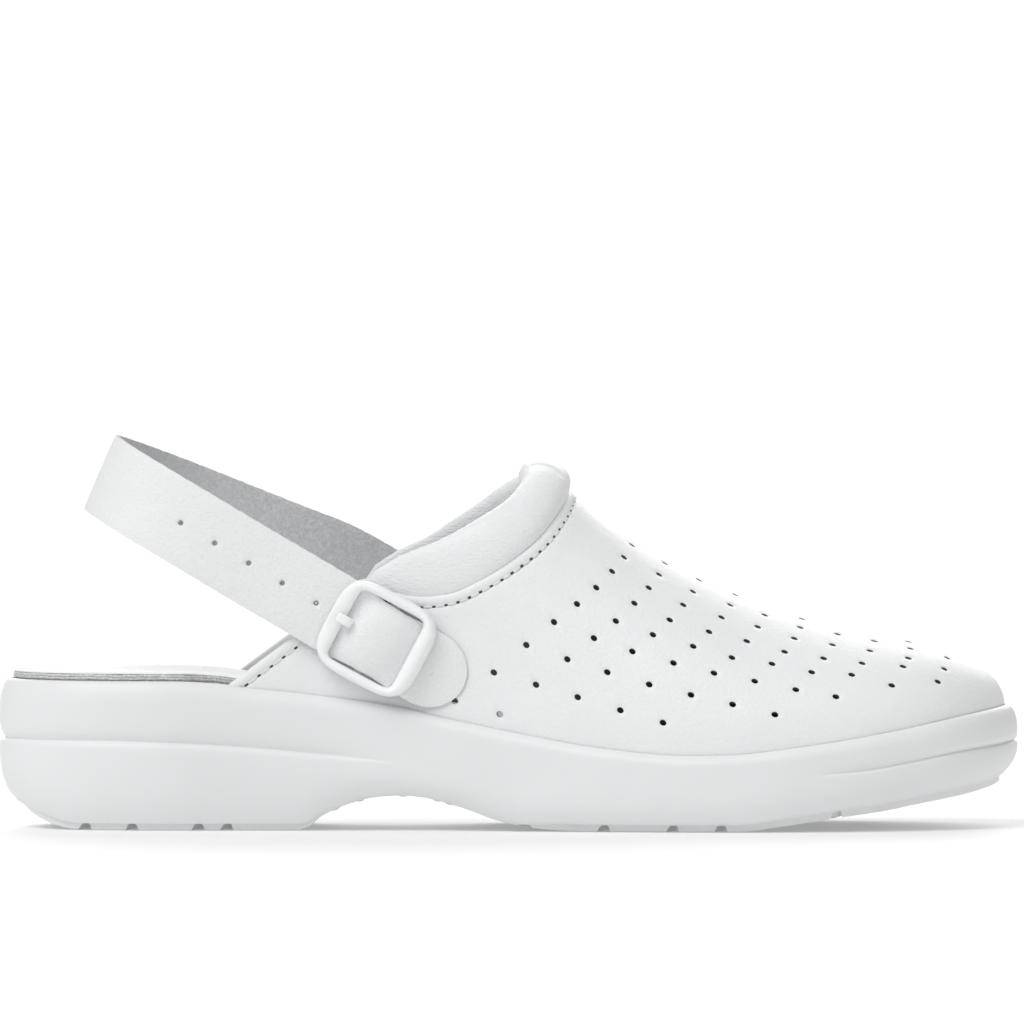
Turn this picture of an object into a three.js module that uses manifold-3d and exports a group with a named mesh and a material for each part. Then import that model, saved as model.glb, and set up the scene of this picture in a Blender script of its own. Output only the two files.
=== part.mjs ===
import * as THREE from 'three';
import { mergeVertices } from 'three/addons/utils/BufferGeometryUtils.js';
import Module from 'manifold-3d';

const wasm = await Module();
wasm.setup();

// A kitchen clog for the right foot, in millimetres, +Z up, toe towards +X.
// The outer side of the foot is towards -Y. Tables hold shares of the named sizes.

// Main sizes of the shoe
const shoeLength = 290;
const ballWidth = 106;
const heelHeight = 42.5;
const toeSpring = 16;
const instepRise = 70;
const fitGap = 0.3;

// Sole
const rimWidth = 3.4;
const rimRound = 2.4;
const wallFlare = 5.2;
const trayDepth = 4;
const treadThick = 2;
const treadInset = 1.1;
const grooveDepth = 0.8;
const notchDepth = 1.9;
const notchWidth = 2.7;
const archRibHeight = 1.2;
const archRibWidth = 2.6;

// Insole
const insoleProud = 2.4;
const insoleEdgeRound = 1;
const insoleDish = 1.6;
const insoleDishInset = 11;

// Upper and collar
const upperWall = 1.8;
const collarBulge = 5.2;
const collarPad = 7;
const collarSink = 5;
const collarTailProud = 0.6;

// Strap
const strapWidth = 23;
const strapThick = 1.8;
const strapReach = 90;
const strapTipReach = 28;
const strapHeelWidth = 62;
const strapInnerReach = 100;
const strapSlope = THREE.MathUtils.degToRad(30.5);
const strapInnerSlope = THREE.MathUtils.degToRad(26);
const strapEdgeRound = 0.4;

// Buckle
const buckleLength = 32;
const buckleWidth = 30;
const buckleThick = 4.6;
const windowLength = 17.6;
const windowWidth = 20.3;
const barThick = 2.2;
const barWidth = 3.2;
const prongThick = 1.4;
const prongReach = 12.8;
const notchInBar = 0.9;

// How finely the curves are cut
const outlineSteps = 50;
const ribSteps = 10;
const outlineDetail = 40;

// Plan of the sole, from the middle of the heel along the outer side to the toe tip
const outerSideRows = [
  { along: 0, across: 0 },
  { along: 0.018, across: -0.165 },
  { along: 0.062, across: -0.275 },
  { along: 0.14, across: -0.335 },
  { along: 0.26, across: -0.335 },
  { along: 0.38, across: -0.345 },
  { along: 0.49, across: -0.388 },
  { along: 0.6, across: -0.447 },
  { along: 0.7, across: -0.48 },
  { along: 0.79, across: -0.468 },
  { along: 0.87, across: -0.412 },
  { along: 0.935, across: -0.305 },
  { along: 0.98, across: -0.13 },
  { along: 1, across: 0.1 },
];

// Plan of the sole, from the toe tip along the inner side back to the heel
const innerSideRows = [
  { along: 0.986, across: 0.305 },
  { along: 0.95, across: 0.432 },
  { along: 0.89, across: 0.505 },
  { along: 0.81, across: 0.52 },
  { along: 0.72, across: 0.495 },
  { along: 0.62, across: 0.418 },
  { along: 0.51, across: 0.335 },
  { along: 0.4, across: 0.3 },
  { along: 0.28, across: 0.312 },
  { along: 0.14, across: 0.335 },
  { along: 0.062, across: 0.278 },
  { along: 0.018, across: 0.168 },
];

// Height of the sole's rim, as a share of heelHeight
const rimRows = [
  { along: 0, up: 1 },
  { along: 0.17, up: 0.995 },
  { along: 0.23, up: 0.965 },
  { along: 0.295, up: 0.92 },
  { along: 0.39, up: 0.835 },
  { along: 0.43, up: 0.768 },
  { along: 0.51, up: 0.656 },
  { along: 0.59, up: 0.562 },
  { along: 0.67, up: 0.515 },
  { along: 0.71, up: 0.515 },
  { along: 0.79, up: 0.563 },
  { along: 0.88, up: 0.67 },
  { along: 0.95, up: 0.776 },
  { along: 1, up: 0.84 },
];

// Lift of the tread off the floor, as a share of toeSpring
const treadRows = [
  { along: 0, lift: 0.56 },
  { along: 0.022, lift: 0.44 },
  { along: 0.032, lift: 0.29 },
  { along: 0.047, lift: 0.14 },
  { along: 0.063, lift: 0.04 },
  { along: 0.079, lift: 0 },
  { along: 0.293, lift: 0 },
  { along: 0.304, lift: 0.07 },
  { along: 0.316, lift: 0.25 },
  { along: 0.344, lift: 0.48 },
  { along: 0.368, lift: 0.59 },
  { along: 0.393, lift: 0.625 },
  { along: 0.413, lift: 0.6 },
  { along: 0.452, lift: 0.425 },
  { along: 0.492, lift: 0.175 },
  { along: 0.521, lift: 0.07 },
  { along: 0.55, lift: 0.02 },
  { along: 0.575, lift: 0 },
  { along: 0.722, lift: 0 },
  { along: 0.766, lift: 0.1 },
  { along: 0.824, lift: 0.255 },
  { along: 0.866, lift: 0.36 },
  { along: 0.904, lift: 0.5 },
  { along: 0.943, lift: 0.66 },
  { along: 0.966, lift: 0.78 },
  { along: 1, lift: 1.06 },
];

// Side wall of the sole between tread and rim: height as a share of the wall, inset as a share of wallFlare
const wallRows = [
  { up: 0, flare: 0.78, groove: 0 },
  { up: 0.07, flare: 0.52, groove: 0 },
  { up: 0.16, flare: 0.28, groove: 0 },
  { up: 0.3, flare: 0.1, groove: 0 },
  { up: 0.46, flare: 0, groove: 0 },
  { up: 0.53, flare: 0, groove: 0.4 },
  { up: 0.58, flare: 0, groove: 1 },
  { up: 0.63, flare: 0, groove: 0.4 },
  { up: 0.7, flare: 0, groove: 0 },
];

// How strong the side groove is along the shoe
const grooveRows = [
  { along: 0, depth: 1 },
  { along: 0.3, depth: 1 },
  { along: 0.4, depth: 0 },
  { along: 0.79, depth: 0 },
  { along: 0.84, depth: 1 },
  { along: 1, depth: 1 },
];

// Straight cuts across the tread and slim ribs across the arch
const notchPlaces = [0.0865, 0.132, 0.197, 0.2255, 0.5175, 0.595, 0.6625, 0.709, 0.8225];
const archRibPlaces = [0.331, 0.355, 0.396, 0.429, 0.441];

// Ridge of the upper: rise above the rim as a share of instepRise, shift as a share of ballWidth
const ridgeRows = [
  { along: 0.16, rise: 2.2, shift: 0 },
  { along: 0.35, rise: 1.88, shift: 0 },
  { along: 0.42, rise: 1.59, shift: 0.004 },
  { along: 0.48, rise: 1.31, shift: 0.008 },
  { along: 0.5266, rise: 1.121, shift: 0.012 },
  { along: 0.562, rise: 0.994, shift: 0.016 },
  { along: 0.61, rise: 0.867, shift: 0.024 },
  { along: 0.648, rise: 0.789, shift: 0.032 },
  { along: 0.686, rise: 0.713, shift: 0.042 },
  { along: 0.7276, rise: 0.633, shift: 0.054 },
  { along: 0.7655, rise: 0.563, shift: 0.066 },
  { along: 0.807, rise: 0.493, shift: 0.078 },
  { along: 0.845, rise: 0.43, shift: 0.088 },
  { along: 0.883, rise: 0.374, shift: 0.096 },
  { along: 0.93, rise: 0.32, shift: 0.1 },
];

// How steeply each side of the upper stands: 1 is an ellipse, more is leaner, less is fuller
const fullnessRows = [
  { along: 0.16, outer: 1, inner: 1 },
  { along: 0.55, outer: 1.08, inner: 1 },
  { along: 0.72, outer: 1.16, inner: 1.02 },
  { along: 0.86, outer: 1.02, inner: 0.94 },
  { along: 0.965, outer: 0.77, inner: 0.77 },
  { along: 1, outer: 0.77, inner: 0.77 },
];

// Where the ribs of the toe start to fan out, and where the ridge ends, as shares of shoeLength
const toeFanStart = 0.74;
const ridgeEnd = 0.878;
const ridgeFall = 0.17;

// Rear edge of the quarter and collar seam from the side: rise above the rim as a share of instepRise
const seamRows = [
  { along: 0.2, rise: -0.11 },
  { along: 0.227, rise: 0 },
  { along: 0.295, rise: 0.245 },
  { along: 0.34, rise: 0.42 },
  { along: 0.36, rise: 0.478 },
  { along: 0.38, rise: 0.458 },
  { along: 0.398, rise: 0.454 },
  { along: 0.438, rise: 0.497 },
  { along: 0.479, rise: 0.606 },
  { along: 0.505, rise: 0.697 },
  { along: 0.53, rise: 0.8 },
  { along: 0.548, rise: 0.896 },
  { along: 0.5605, rise: 0.985 },
  { along: 0.566, rise: 1.08 },
  { along: 0.57, rise: 1.3 },
];

// Top line of the collar from the side
const topLineRows = [
  { along: 0.355, rise: 0.48 },
  { along: 0.391, rise: 0.6 },
  { along: 0.438, rise: 0.725 },
  { along: 0.469, rise: 0.824 },
  { along: 0.4966, rise: 0.914 },
  { along: 0.507, rise: 0.967 },
  { along: 0.5207, rise: 1.07 },
  { along: 0.53, rise: 1.18 },
];

// Padding of the collar from its tail to the instep: shares of collarBulge, collarPad and collarSink
const collarRows = [
  { turn: 0.19, bulge: 0, pad: 0.18, sink: 0 },
  { turn: 0.25, bulge: 0.12, pad: 0.3, sink: 0 },
  { turn: 0.4, bulge: 0.42, pad: 0.55, sink: 0.2 },
  { turn: 0.6, bulge: 0.72, pad: 0.8, sink: 0.6 },
  { turn: 0.8, bulge: 0.94, pad: 0.95, sink: 0.9 },
  { turn: 1, bulge: 1, pad: 1, sink: 1 },
];

// Loop of the strap from the quarter to the back of the heel: half width as a share of its place's full half
// width, which is the quarter's at heel 0 and half of strapHeelWidth at heel 1
const loopRows = [
  { back: 0.2, half: 1, heel: 0 },
  { back: 0.36, half: 1, heel: 0.4 },
  { back: 0.52, half: 0.99, heel: 0.85 },
  { back: 0.66, half: 0.955, heel: 1 },
  { back: 0.78, half: 0.87, heel: 1 },
  { back: 0.88, half: 0.72, heel: 1 },
  { back: 0.95, half: 0.51, heel: 1 },
  { back: 0.99, half: 0.25, heel: 1 },
  { back: 1, half: 0, heel: 1 },
];

// Buckle place: along the shoe, and rise of its middle above the rim
const buckleAlong = 0.371;
const buckleRise = 0.26;

// Returns a smooth function through one column of a table, flat where the table is flat
function smoothColumn(rows, place, column) {
  const slopes = rows.slice(1).map((row, k) => (
    (row[column] - rows[k][column]) / (row[place] - rows[k][place])
  ));
  const tangents = rows.map((row, k) => {
    const before = slopes[Math.max(k - 1, 0)];
    const after = slopes[Math.min(k, slopes.length - 1)];
    return before * after <= 0 ? 0 : (2 * before * after) / (before + after);
  });
  return (at) => {
    const last = rows.length - 2;
    let k = rows.findIndex((row) => row[place] > at) - 1;
    if (k < 0) k = at < rows[0][place] ? 0 : last;
    const span = rows[k + 1][place] - rows[k][place];
    const t = THREE.MathUtils.clamp((at - rows[k][place]) / span, 0, 1);
    const t2 = t * t;
    const t3 = t2 * t;
    return (2 * t3 - 3 * t2 + 1) * rows[k][column]
      + (t3 - 2 * t2 + t) * span * tangents[k]
      + (-2 * t3 + 3 * t2) * rows[k + 1][column]
      + (t3 - t2) * span * tangents[k + 1];
  };
}

const rimShare = smoothColumn(rimRows, 'along', 'up');
const treadShare = smoothColumn(treadRows, 'along', 'lift');
const grooveShare = smoothColumn(grooveRows, 'along', 'depth');
const ridgeShare = smoothColumn(ridgeRows, 'along', 'rise');
const ridgeShift = smoothColumn(ridgeRows, 'along', 'shift');
const outerFullness = smoothColumn(fullnessRows, 'along', 'outer');
const innerFullness = smoothColumn(fullnessRows, 'along', 'inner');
const seamShare = smoothColumn(seamRows, 'along', 'rise');
const topLineShare = smoothColumn(topLineRows, 'along', 'rise');

const rimHeight = (x) => heelHeight * rimShare(x / shoeLength);
const treadHeight = (x) => toeSpring * treadShare(x / shoeLength);
const ridgeHeight = (x) => rimHeight(x) + instepRise * ridgeShare(x / shoeLength);
const seamHeight = (x) => rimHeight(x) + instepRise * seamShare(x / shoeLength);
const topLineHeight = (x) => rimHeight(x) + instepRise * topLineShare(x / shoeLength);

// Plan outline as evenly spaced points: outer side from heel to toe tip, then the inner side back
function outlinePoints() {
  const rows = [...outerSideRows, ...innerSideRows];
  const curve = new THREE.CatmullRomCurve3(
    rows.map((row) => new THREE.Vector3(row.along * shoeLength, row.across * ballWidth, 0)),
    true,
  );
  const tip = (outerSideRows.length - 1) / rows.length;
  const spaced = (from, to) => {
    const fine = outlineSteps * outlineDetail;
    const points = Array.from({ length: fine + 1 }, (_, k) => curve.getPoint(from + ((to - from) * k) / fine));
    const lengths = [0];
    for (let k = 1; k <= fine; k += 1) lengths.push(lengths[k - 1] + points[k].distanceTo(points[k - 1]));
    return Array.from({ length: outlineSteps }, (_, step) => {
      const goal = (lengths[fine] * step) / outlineSteps;
      return points[lengths.findIndex((length) => length >= goal)];
    });
  };
  return [...spaced(0, tip), ...spaced(tip, 1)];
}

const outline = outlinePoints();
const outlineNormals = outline.map((_, k) => {
  const before = outline[(k - 1 + outline.length) % outline.length];
  const after = outline[(k + 1) % outline.length];
  const along = after.clone().sub(before).normalize();
  return new THREE.Vector3(along.y, -along.x, 0);
});

// Outline drawn in by an inset, which may be a function of the place along the shoe
function insetRing(inset, height) {
  return outline.map((point, k) => {
    const depth = typeof inset === 'function' ? inset(point.x) : inset;
    const moved = point.clone().addScaledVector(outlineNormals[k], -depth);
    moved.z = height(moved.x);
    return moved;
  });
}

// Closed body from a list of triangles, turned so that its faces point out
function bodyFromTriangles(triangles) {
  const geometry = new THREE.BufferGeometry();
  const volume = triangles.reduce((sum, [a, b, c]) => sum + a.dot(b.clone().cross(c)), 0);
  const turned = volume < 0 ? triangles.map(([a, b, c]) => [a, c, b]) : triangles;
  const positions = turned.flat().flatMap((point) => point.toArray());
  geometry.setAttribute('position', new THREE.Float32BufferAttribute(positions, 3));
  return geometry;
}

function addQuad(triangles, a, b, c, d) {
  const flat = 1e-7;
  if (a.distanceTo(b) > flat && b.distanceTo(c) > flat && c.distanceTo(a) > flat) triangles.push([a, b, c]);
  if (a.distanceTo(c) > flat && c.distanceTo(d) > flat && d.distanceTo(a) > flat) triangles.push([a, c, d]);
}

// Body through rings of the same number of points, closed at both ends by strips from side to side
function ringBody(rings) {
  const triangles = [];
  const count = rings[0].length;
  for (let r = 0; r + 1 < rings.length; r += 1) {
    for (let k = 0; k < count; k += 1) {
      const next = (k + 1) % count;
      addQuad(triangles, rings[r][k], rings[r][next], rings[r + 1][next], rings[r + 1][k]);
    }
  }
  const cap = (ring, facing) => {
    for (let k = 0; k < count / 2; k += 1) {
      const across = [ring[k], ring[k + 1], ring[count - k - 1], ring[(count - k) % count]];
      addQuad(triangles, ...(facing ? across : across.reverse()));
    }
  };
  cap(rings[0], false);
  cap(rings[rings.length - 1], true);
  return bodyFromTriangles(triangles);
}

function toSolid(geometry) {
  const bare = geometry.clone();
  bare.deleteAttribute('normal');
  bare.deleteAttribute('uv');
  const merged = mergeVertices(bare, 1e-5);
  return new wasm.Manifold(new wasm.Mesh({
    numProp: 3,
    vertProperties: new Float32Array(merged.attributes.position.array),
    triVerts: new Uint32Array(merged.index.array),
  }));
}

function toGeometry(solid) {
  const mesh = solid.getMesh();
  const geometry = new THREE.BufferGeometry();
  geometry.setAttribute('position', new THREE.Float32BufferAttribute(Array.from(mesh.vertProperties), 3));
  geometry.setIndex(Array.from(mesh.triVerts));
  return geometry;
}

// Flat outline seen from the side, given as x and z, pulled across the whole shoe
function sidePrism(points) {
  const shape = new THREE.Shape(points.map(([x, z]) => new THREE.Vector2(x, z)));
  const geometry = new THREE.ExtrudeGeometry(shape, { depth: 2 * ballWidth, bevelEnabled: false, steps: 1 });
  geometry.rotateX(Math.PI / 2);
  geometry.translate(0, ballWidth, 0);
  return toSolid(geometry);
}

// Sole: tread layer, flared wall with its groove, rounded rim, and the tray that takes upper and insole
function makeSole() {
  const wallHeight = (up) => (x) => treadHeight(x) + treadThick + up * (rimHeight(x) - treadHeight(x) - treadThick);
  const rings = [
    insetRing(wallFlare + treadInset, treadHeight),
    insetRing(wallFlare * wallRows[0].flare + treadInset, (x) => treadHeight(x) + treadThick),
  ];
  wallRows.forEach((row) => {
    const inset = (x) => wallFlare * row.flare + grooveDepth * row.groove * grooveShare(x / shoeLength);
    rings.push(insetRing(inset, wallHeight(row.up)));
  });
  const roundSteps = 3;
  for (let k = 0; k <= roundSteps; k += 1) {
    const turn = (Math.PI / 2) * (k / roundSteps);
    const inset = rimRound * (1 - Math.cos(turn));
    rings.push(insetRing(inset, (x) => rimHeight(x) - rimRound * (1 - Math.sin(turn))));
  }
  rings.push(insetRing(rimWidth, rimHeight));
  rings.push(insetRing(rimWidth, (x) => rimHeight(x) - trayDepth));
  let sole = toSolid(ringBody(rings));
  archRibPlaces.forEach((place) => {
    const x = place * shoeLength;
    const rib = new THREE.BoxGeometry(archRibWidth, ballWidth * 0.5, 2 * archRibHeight);
    rib.translate(x, 0, treadHeight(x));
    sole = sole.add(toSolid(rib));
  });
  notchPlaces.forEach((place) => {
    const x = place * shoeLength;
    const notch = new THREE.BoxGeometry(notchWidth, 2 * ballWidth, 2 * notchDepth);
    notch.translate(x, 0, treadHeight(x));
    sole = sole.subtract(toSolid(notch));
  });
  return toGeometry(sole);
}

// Insole: wide at the open heel, narrower inside the upper, with a soft edge and a dished top
function makeInsole() {
  const openInset = rimWidth + fitGap;
  const closedInset = openInset + upperWall + 2 * fitGap;
  const quarterStart = seamRows[0].along * shoeLength;
  const quarterIn = 8;
  const inset = (extra) => (x) => extra
    + THREE.MathUtils.lerp(openInset, closedInset, THREE.MathUtils.smoothstep(x, quarterStart - quarterIn, quarterStart));
  const top = (x) => rimHeight(x) + insoleProud;
  return ringBody([
    insetRing(inset(0), (x) => rimHeight(x) - trayDepth + fitGap),
    insetRing(inset(0), (x) => top(x) - insoleEdgeRound),
    insetRing(inset(insoleEdgeRound * 0.3), (x) => top(x) - insoleEdgeRound * 0.3),
    insetRing(inset(insoleEdgeRound), top),
    insetRing(inset(insoleDishInset), (x) => top(x) - insoleDish),
  ]);
}

// Corner points of the upper at one station: the two feather points and the ridge point between them
function upperStation(ring, k, shrink) {
  const outer = ring[k];
  const inner = ring[(ring.length - k) % ring.length];
  const tip = ring[ring.length / 2].x;
  const middle = (outer.x + inner.x) / 2;
  const fan = toeFanStart * shoeLength;
  const end = ridgeEnd * shoeLength - shrink;
  let x = middle;
  if (middle > fan) {
    const power = (tip - fan) / (end - fan);
    x = fan + (end - fan) * (1 - (1 - Math.min((middle - fan) / (tip - fan), 1)) ** power);
  }
  const ridge = new THREE.Vector3(x, ridgeShift(x / shoeLength) * ballWidth, ridgeHeight(x) - shrink);
  return { outer, inner, ridge };
}

// Point of a rib between feather and ridge; in front of the ridge's end the ridge's fall is carried on
function ribPoint(feather, ridge, turn, fullness) {
  const inward = 1 - Math.cos(turn) ** fullness;
  const x = THREE.MathUtils.lerp(feather.x, ridge.x, inward);
  const crest = ridge.z - ridgeFall * Math.max(x - ridge.x, 0);
  return new THREE.Vector3(
    x,
    THREE.MathUtils.lerp(feather.y, ridge.y, inward),
    THREE.MathUtils.lerp(feather.z, crest, Math.sin(turn)),
  );
}

// Filled form of the upper, drawn in by shrink on every side, its skirt reaching drop below the rim
function upperBody(shrink, drop) {
  const ring = insetRing(rimWidth + fitGap + shrink, rimHeight);
  const start = ring.findIndex((point) => point.x > (seamRows[0].along - 0.03) * shoeLength);
  const sections = [];
  for (let k = start; k <= outlineSteps; k += 1) {
    const { outer, inner, ridge } = upperStation(ring, k, shrink);
    const section = [outer.clone().setZ(outer.z - drop)];
    for (let j = 0; j < ribSteps; j += 1) {
      section.push(ribPoint(outer, ridge, (Math.PI / 2) * (j / ribSteps), outerFullness(outer.x / shoeLength)));
    }
    section.push(ridge);
    for (let j = ribSteps - 1; j >= 0; j -= 1) {
      section.push(ribPoint(inner, ridge, (Math.PI / 2) * (j / ribSteps), innerFullness(inner.x / shoeLength)));
    }
    section.push(inner.clone().setZ(inner.z - drop));
    sections.push(section);
  }
  const triangles = [];
  const count = sections[0].length;
  for (let s = 0; s + 1 < sections.length; s += 1) {
    for (let k = 0; k < count; k += 1) {
      const next = (k + 1) % count;
      addQuad(triangles, sections[s][k], sections[s][next], sections[s + 1][next], sections[s + 1][k]);
    }
  }
  for (let k = 0; k < (count - 1) / 2; k += 1) {
    addQuad(
      triangles,
      sections[0][k + 1],
      sections[0][k],
      sections[0][count - 1 - k],
      sections[0][count - 2 - k],
    );
  }
  return toSolid(bodyFromTriangles(triangles));
}

// Upper: a hollow shell, open underneath, cut along the rear edge of the quarter and the collar seam
function makeUpper() {
  const skirt = trayDepth - fitGap;
  const shell = upperBody(0, skirt).subtract(upperBody(upperWall, 2 * skirt));
  const cutSteps = 48;
  const from = seamRows[0].along;
  const to = seamRows[seamRows.length - 1].along;
  const edge = Array.from({ length: cutSteps + 1 }, (_, k) => {
    const x = (from + ((to - from) * k) / cutSteps) * shoeLength;
    return [x, seamHeight(x)];
  });
  const above = heelHeight + 3 * instepRise;
  const cut = sidePrism([[0, 0], [from * shoeLength, 0], ...edge, [to * shoeLength, above], [0, above]]);
  return toGeometry(shell.subtract(cut));
}

// Point of the upper's surface at a place along the shoe behind the toe fan, turned up from the feather line
const featherRing = insetRing(rimWidth + fitGap, rimHeight);

function featherAt(x, side, shrink) {
  const half = side < 0
    ? featherRing.slice(0, outlineSteps + 1)
    : [featherRing[0], ...featherRing.slice(outlineSteps).reverse()];
  const k = Math.max(half.findIndex((point) => point.x > x), 1);
  const before = half[k - 1];
  const after = half[k];
  const y = THREE.MathUtils.mapLinear(x, before.x, after.x, before.y, after.y);
  return new THREE.Vector3(x, y - side * shrink, rimHeight(x));
}

function surfacePoint(x, turn, side, shrink) {
  const ridge = new THREE.Vector3(x, ridgeShift(x / shoeLength) * ballWidth, ridgeHeight(x) - shrink);
  const fullness = side < 0 ? outerFullness : innerFullness;
  return ribPoint(featherAt(x, side, shrink), ridge, turn, fullness(x / shoeLength));
}

function surfaceAtHeight(x, z, side, shrink) {
  const low = rimHeight(x);
  const high = ridgeHeight(x) - shrink;
  const turn = Math.asin(THREE.MathUtils.clamp((z - low) / (high - low), 0, 1));
  return surfacePoint(x, turn, side, shrink);
}

// Where a line seen from the side crosses the surface's rib of one turn
function onSideLine(height, turn, side, shrink, from, to) {
  let low = from;
  let high = to;
  const halvings = 40;
  for (let k = 0; k < halvings; k += 1) {
    const middle = (low + high) / 2;
    const gap = surfacePoint(middle, turn, side, shrink).z - height(middle);
    if (gap > 0) low = middle;
    else high = middle;
  }
  return surfacePoint((low + high) / 2, turn, side, shrink);
}

// Collar: a padded crescent between the seam and the top line, thickest over the instep
function makeCollar() {
  const bulge = smoothColumn(collarRows, 'turn', 'bulge');
  const pad = smoothColumn(collarRows, 'turn', 'pad');
  const sink = smoothColumn(collarRows, 'turn', 'sink');
  const tail = collarRows[0].turn;
  const stations = 36;
  const around = 12;
  const middleWall = upperWall / 2;
  const seamFrom = seamRows[5].along * shoeLength;
  const seamTo = seamRows[seamRows.length - 1].along * shoeLength;
  const topFrom = topLineRows[0].along * shoeLength;
  const topTo = topLineRows[topLineRows.length - 1].along * shoeLength;
  const pairs = Array.from({ length: stations + 1 }, (_, k) => {
    const side = k <= stations / 2 ? -1 : 1;
    const turn = tail + (1 - tail) * (1 - Math.abs((2 * k) / stations - 1));
    const angle = (Math.PI / 2) * turn;
    const topSink = middleWall + (collarSink - middleWall) * sink(turn);
    return {
      turn,
      seam: onSideLine(seamHeight, angle, side, middleWall, seamFrom, seamTo),
      top: onSideLine(topLineHeight, angle, side, topSink, topFrom, topTo),
    };
  });
  const rings = pairs.map(({ turn, seam, top }, k) => {
    const before = pairs[Math.max(k - 1, 0)];
    const after = pairs[Math.min(k + 1, stations)];
    const along = after.seam.clone().add(after.top).sub(before.seam).sub(before.top).normalize();
    const across = top.clone().sub(seam);
    const width = across.length();
    across.normalize();
    const outward = across.clone().cross(along).normalize();
    const start = seam.clone().addScaledVector(across, 2 * fitGap);
    const reach = Math.max(width - 2 * fitGap, 2 * fitGap);
    return Array.from({ length: around }, (__, j) => {
      const phi = (2 * Math.PI * j) / around;
      const thick = Math.sin(phi) > 0
        ? collarTailProud + middleWall + (collarBulge - collarTailProud - middleWall) * bulge(turn)
        : collarPad * pad(turn);
      return start.clone()
        .addScaledVector(across, reach * (0.5 - 0.5 * Math.cos(phi)))
        .addScaledVector(outward, -thick * Math.sign(-Math.sin(phi)) * Math.abs(Math.sin(phi)) ** 0.8);
    });
  });
  return ringBody(rings);
}

// Frame of the buckle: its middle just outside the quarter, its first axis along the strap
function buckleFrame() {
  const x = buckleAlong * shoeLength;
  const z = rimHeight(x) + buckleRise * instepRise;
  const step = 1;
  const at = (dx, dz) => surfaceAtHeight(x + dx, z + dz, -1, 0);
  const middle = at(0, 0);
  const alongX = at(step, 0).sub(at(-step, 0));
  const alongZ = at(0, step).sub(at(0, -step));
  const outward = alongX.clone().cross(alongZ).normalize();
  const along = alongX.normalize().multiplyScalar(Math.cos(strapSlope))
    .addScaledVector(alongZ.normalize(), -Math.sin(strapSlope));
  along.addScaledVector(outward, -along.dot(outward)).normalize();
  const up = outward.clone().cross(along);
  const lift = (a, w) => {
    const flat = middle.clone().addScaledVector(along, a).addScaledVector(up, w);
    const skin = surfaceAtHeight(flat.x, flat.z, -1, 0);
    return (skin.y - flat.y) * outward.y;
  };
  const spots = [-1, -0.5, 0, 0.5, 1];
  const highest = Math.max(...spots.flatMap((a) => spots.map((w) => (
    lift((a * buckleLength) / 2, (w * buckleWidth) / 2)
  ))));
  return { middle: middle.addScaledVector(outward, highest), along, up, outward, lift };
}

const buckle = buckleFrame();
const strapUnderBar = 2 * fitGap;
const strapOverBar = fitGap + barThick + fitGap;
const frameFloor = strapUnderBar + strapThick + 2 * fitGap;
const passage = strapOverBar + strapThick + fitGap;

// Height of the strap's underside over the buckle's plane
function strapLift(a) {
  const crest = barWidth / 2;
  const foot = windowLength / 2;
  const away = THREE.MathUtils.smoothstep(Math.abs(a), crest, foot);
  const flat = THREE.MathUtils.lerp(strapOverBar, strapUnderBar, away);
  const spots = [-0.4, 0, 0.4];
  const skin = Math.max(...spots.map((w) => buckle.lift(a, w * strapWidth))) + fitGap;
  return Math.abs(a) > buckleLength / 2 ? Math.max(skin, fitGap) : flat;
}

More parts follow.
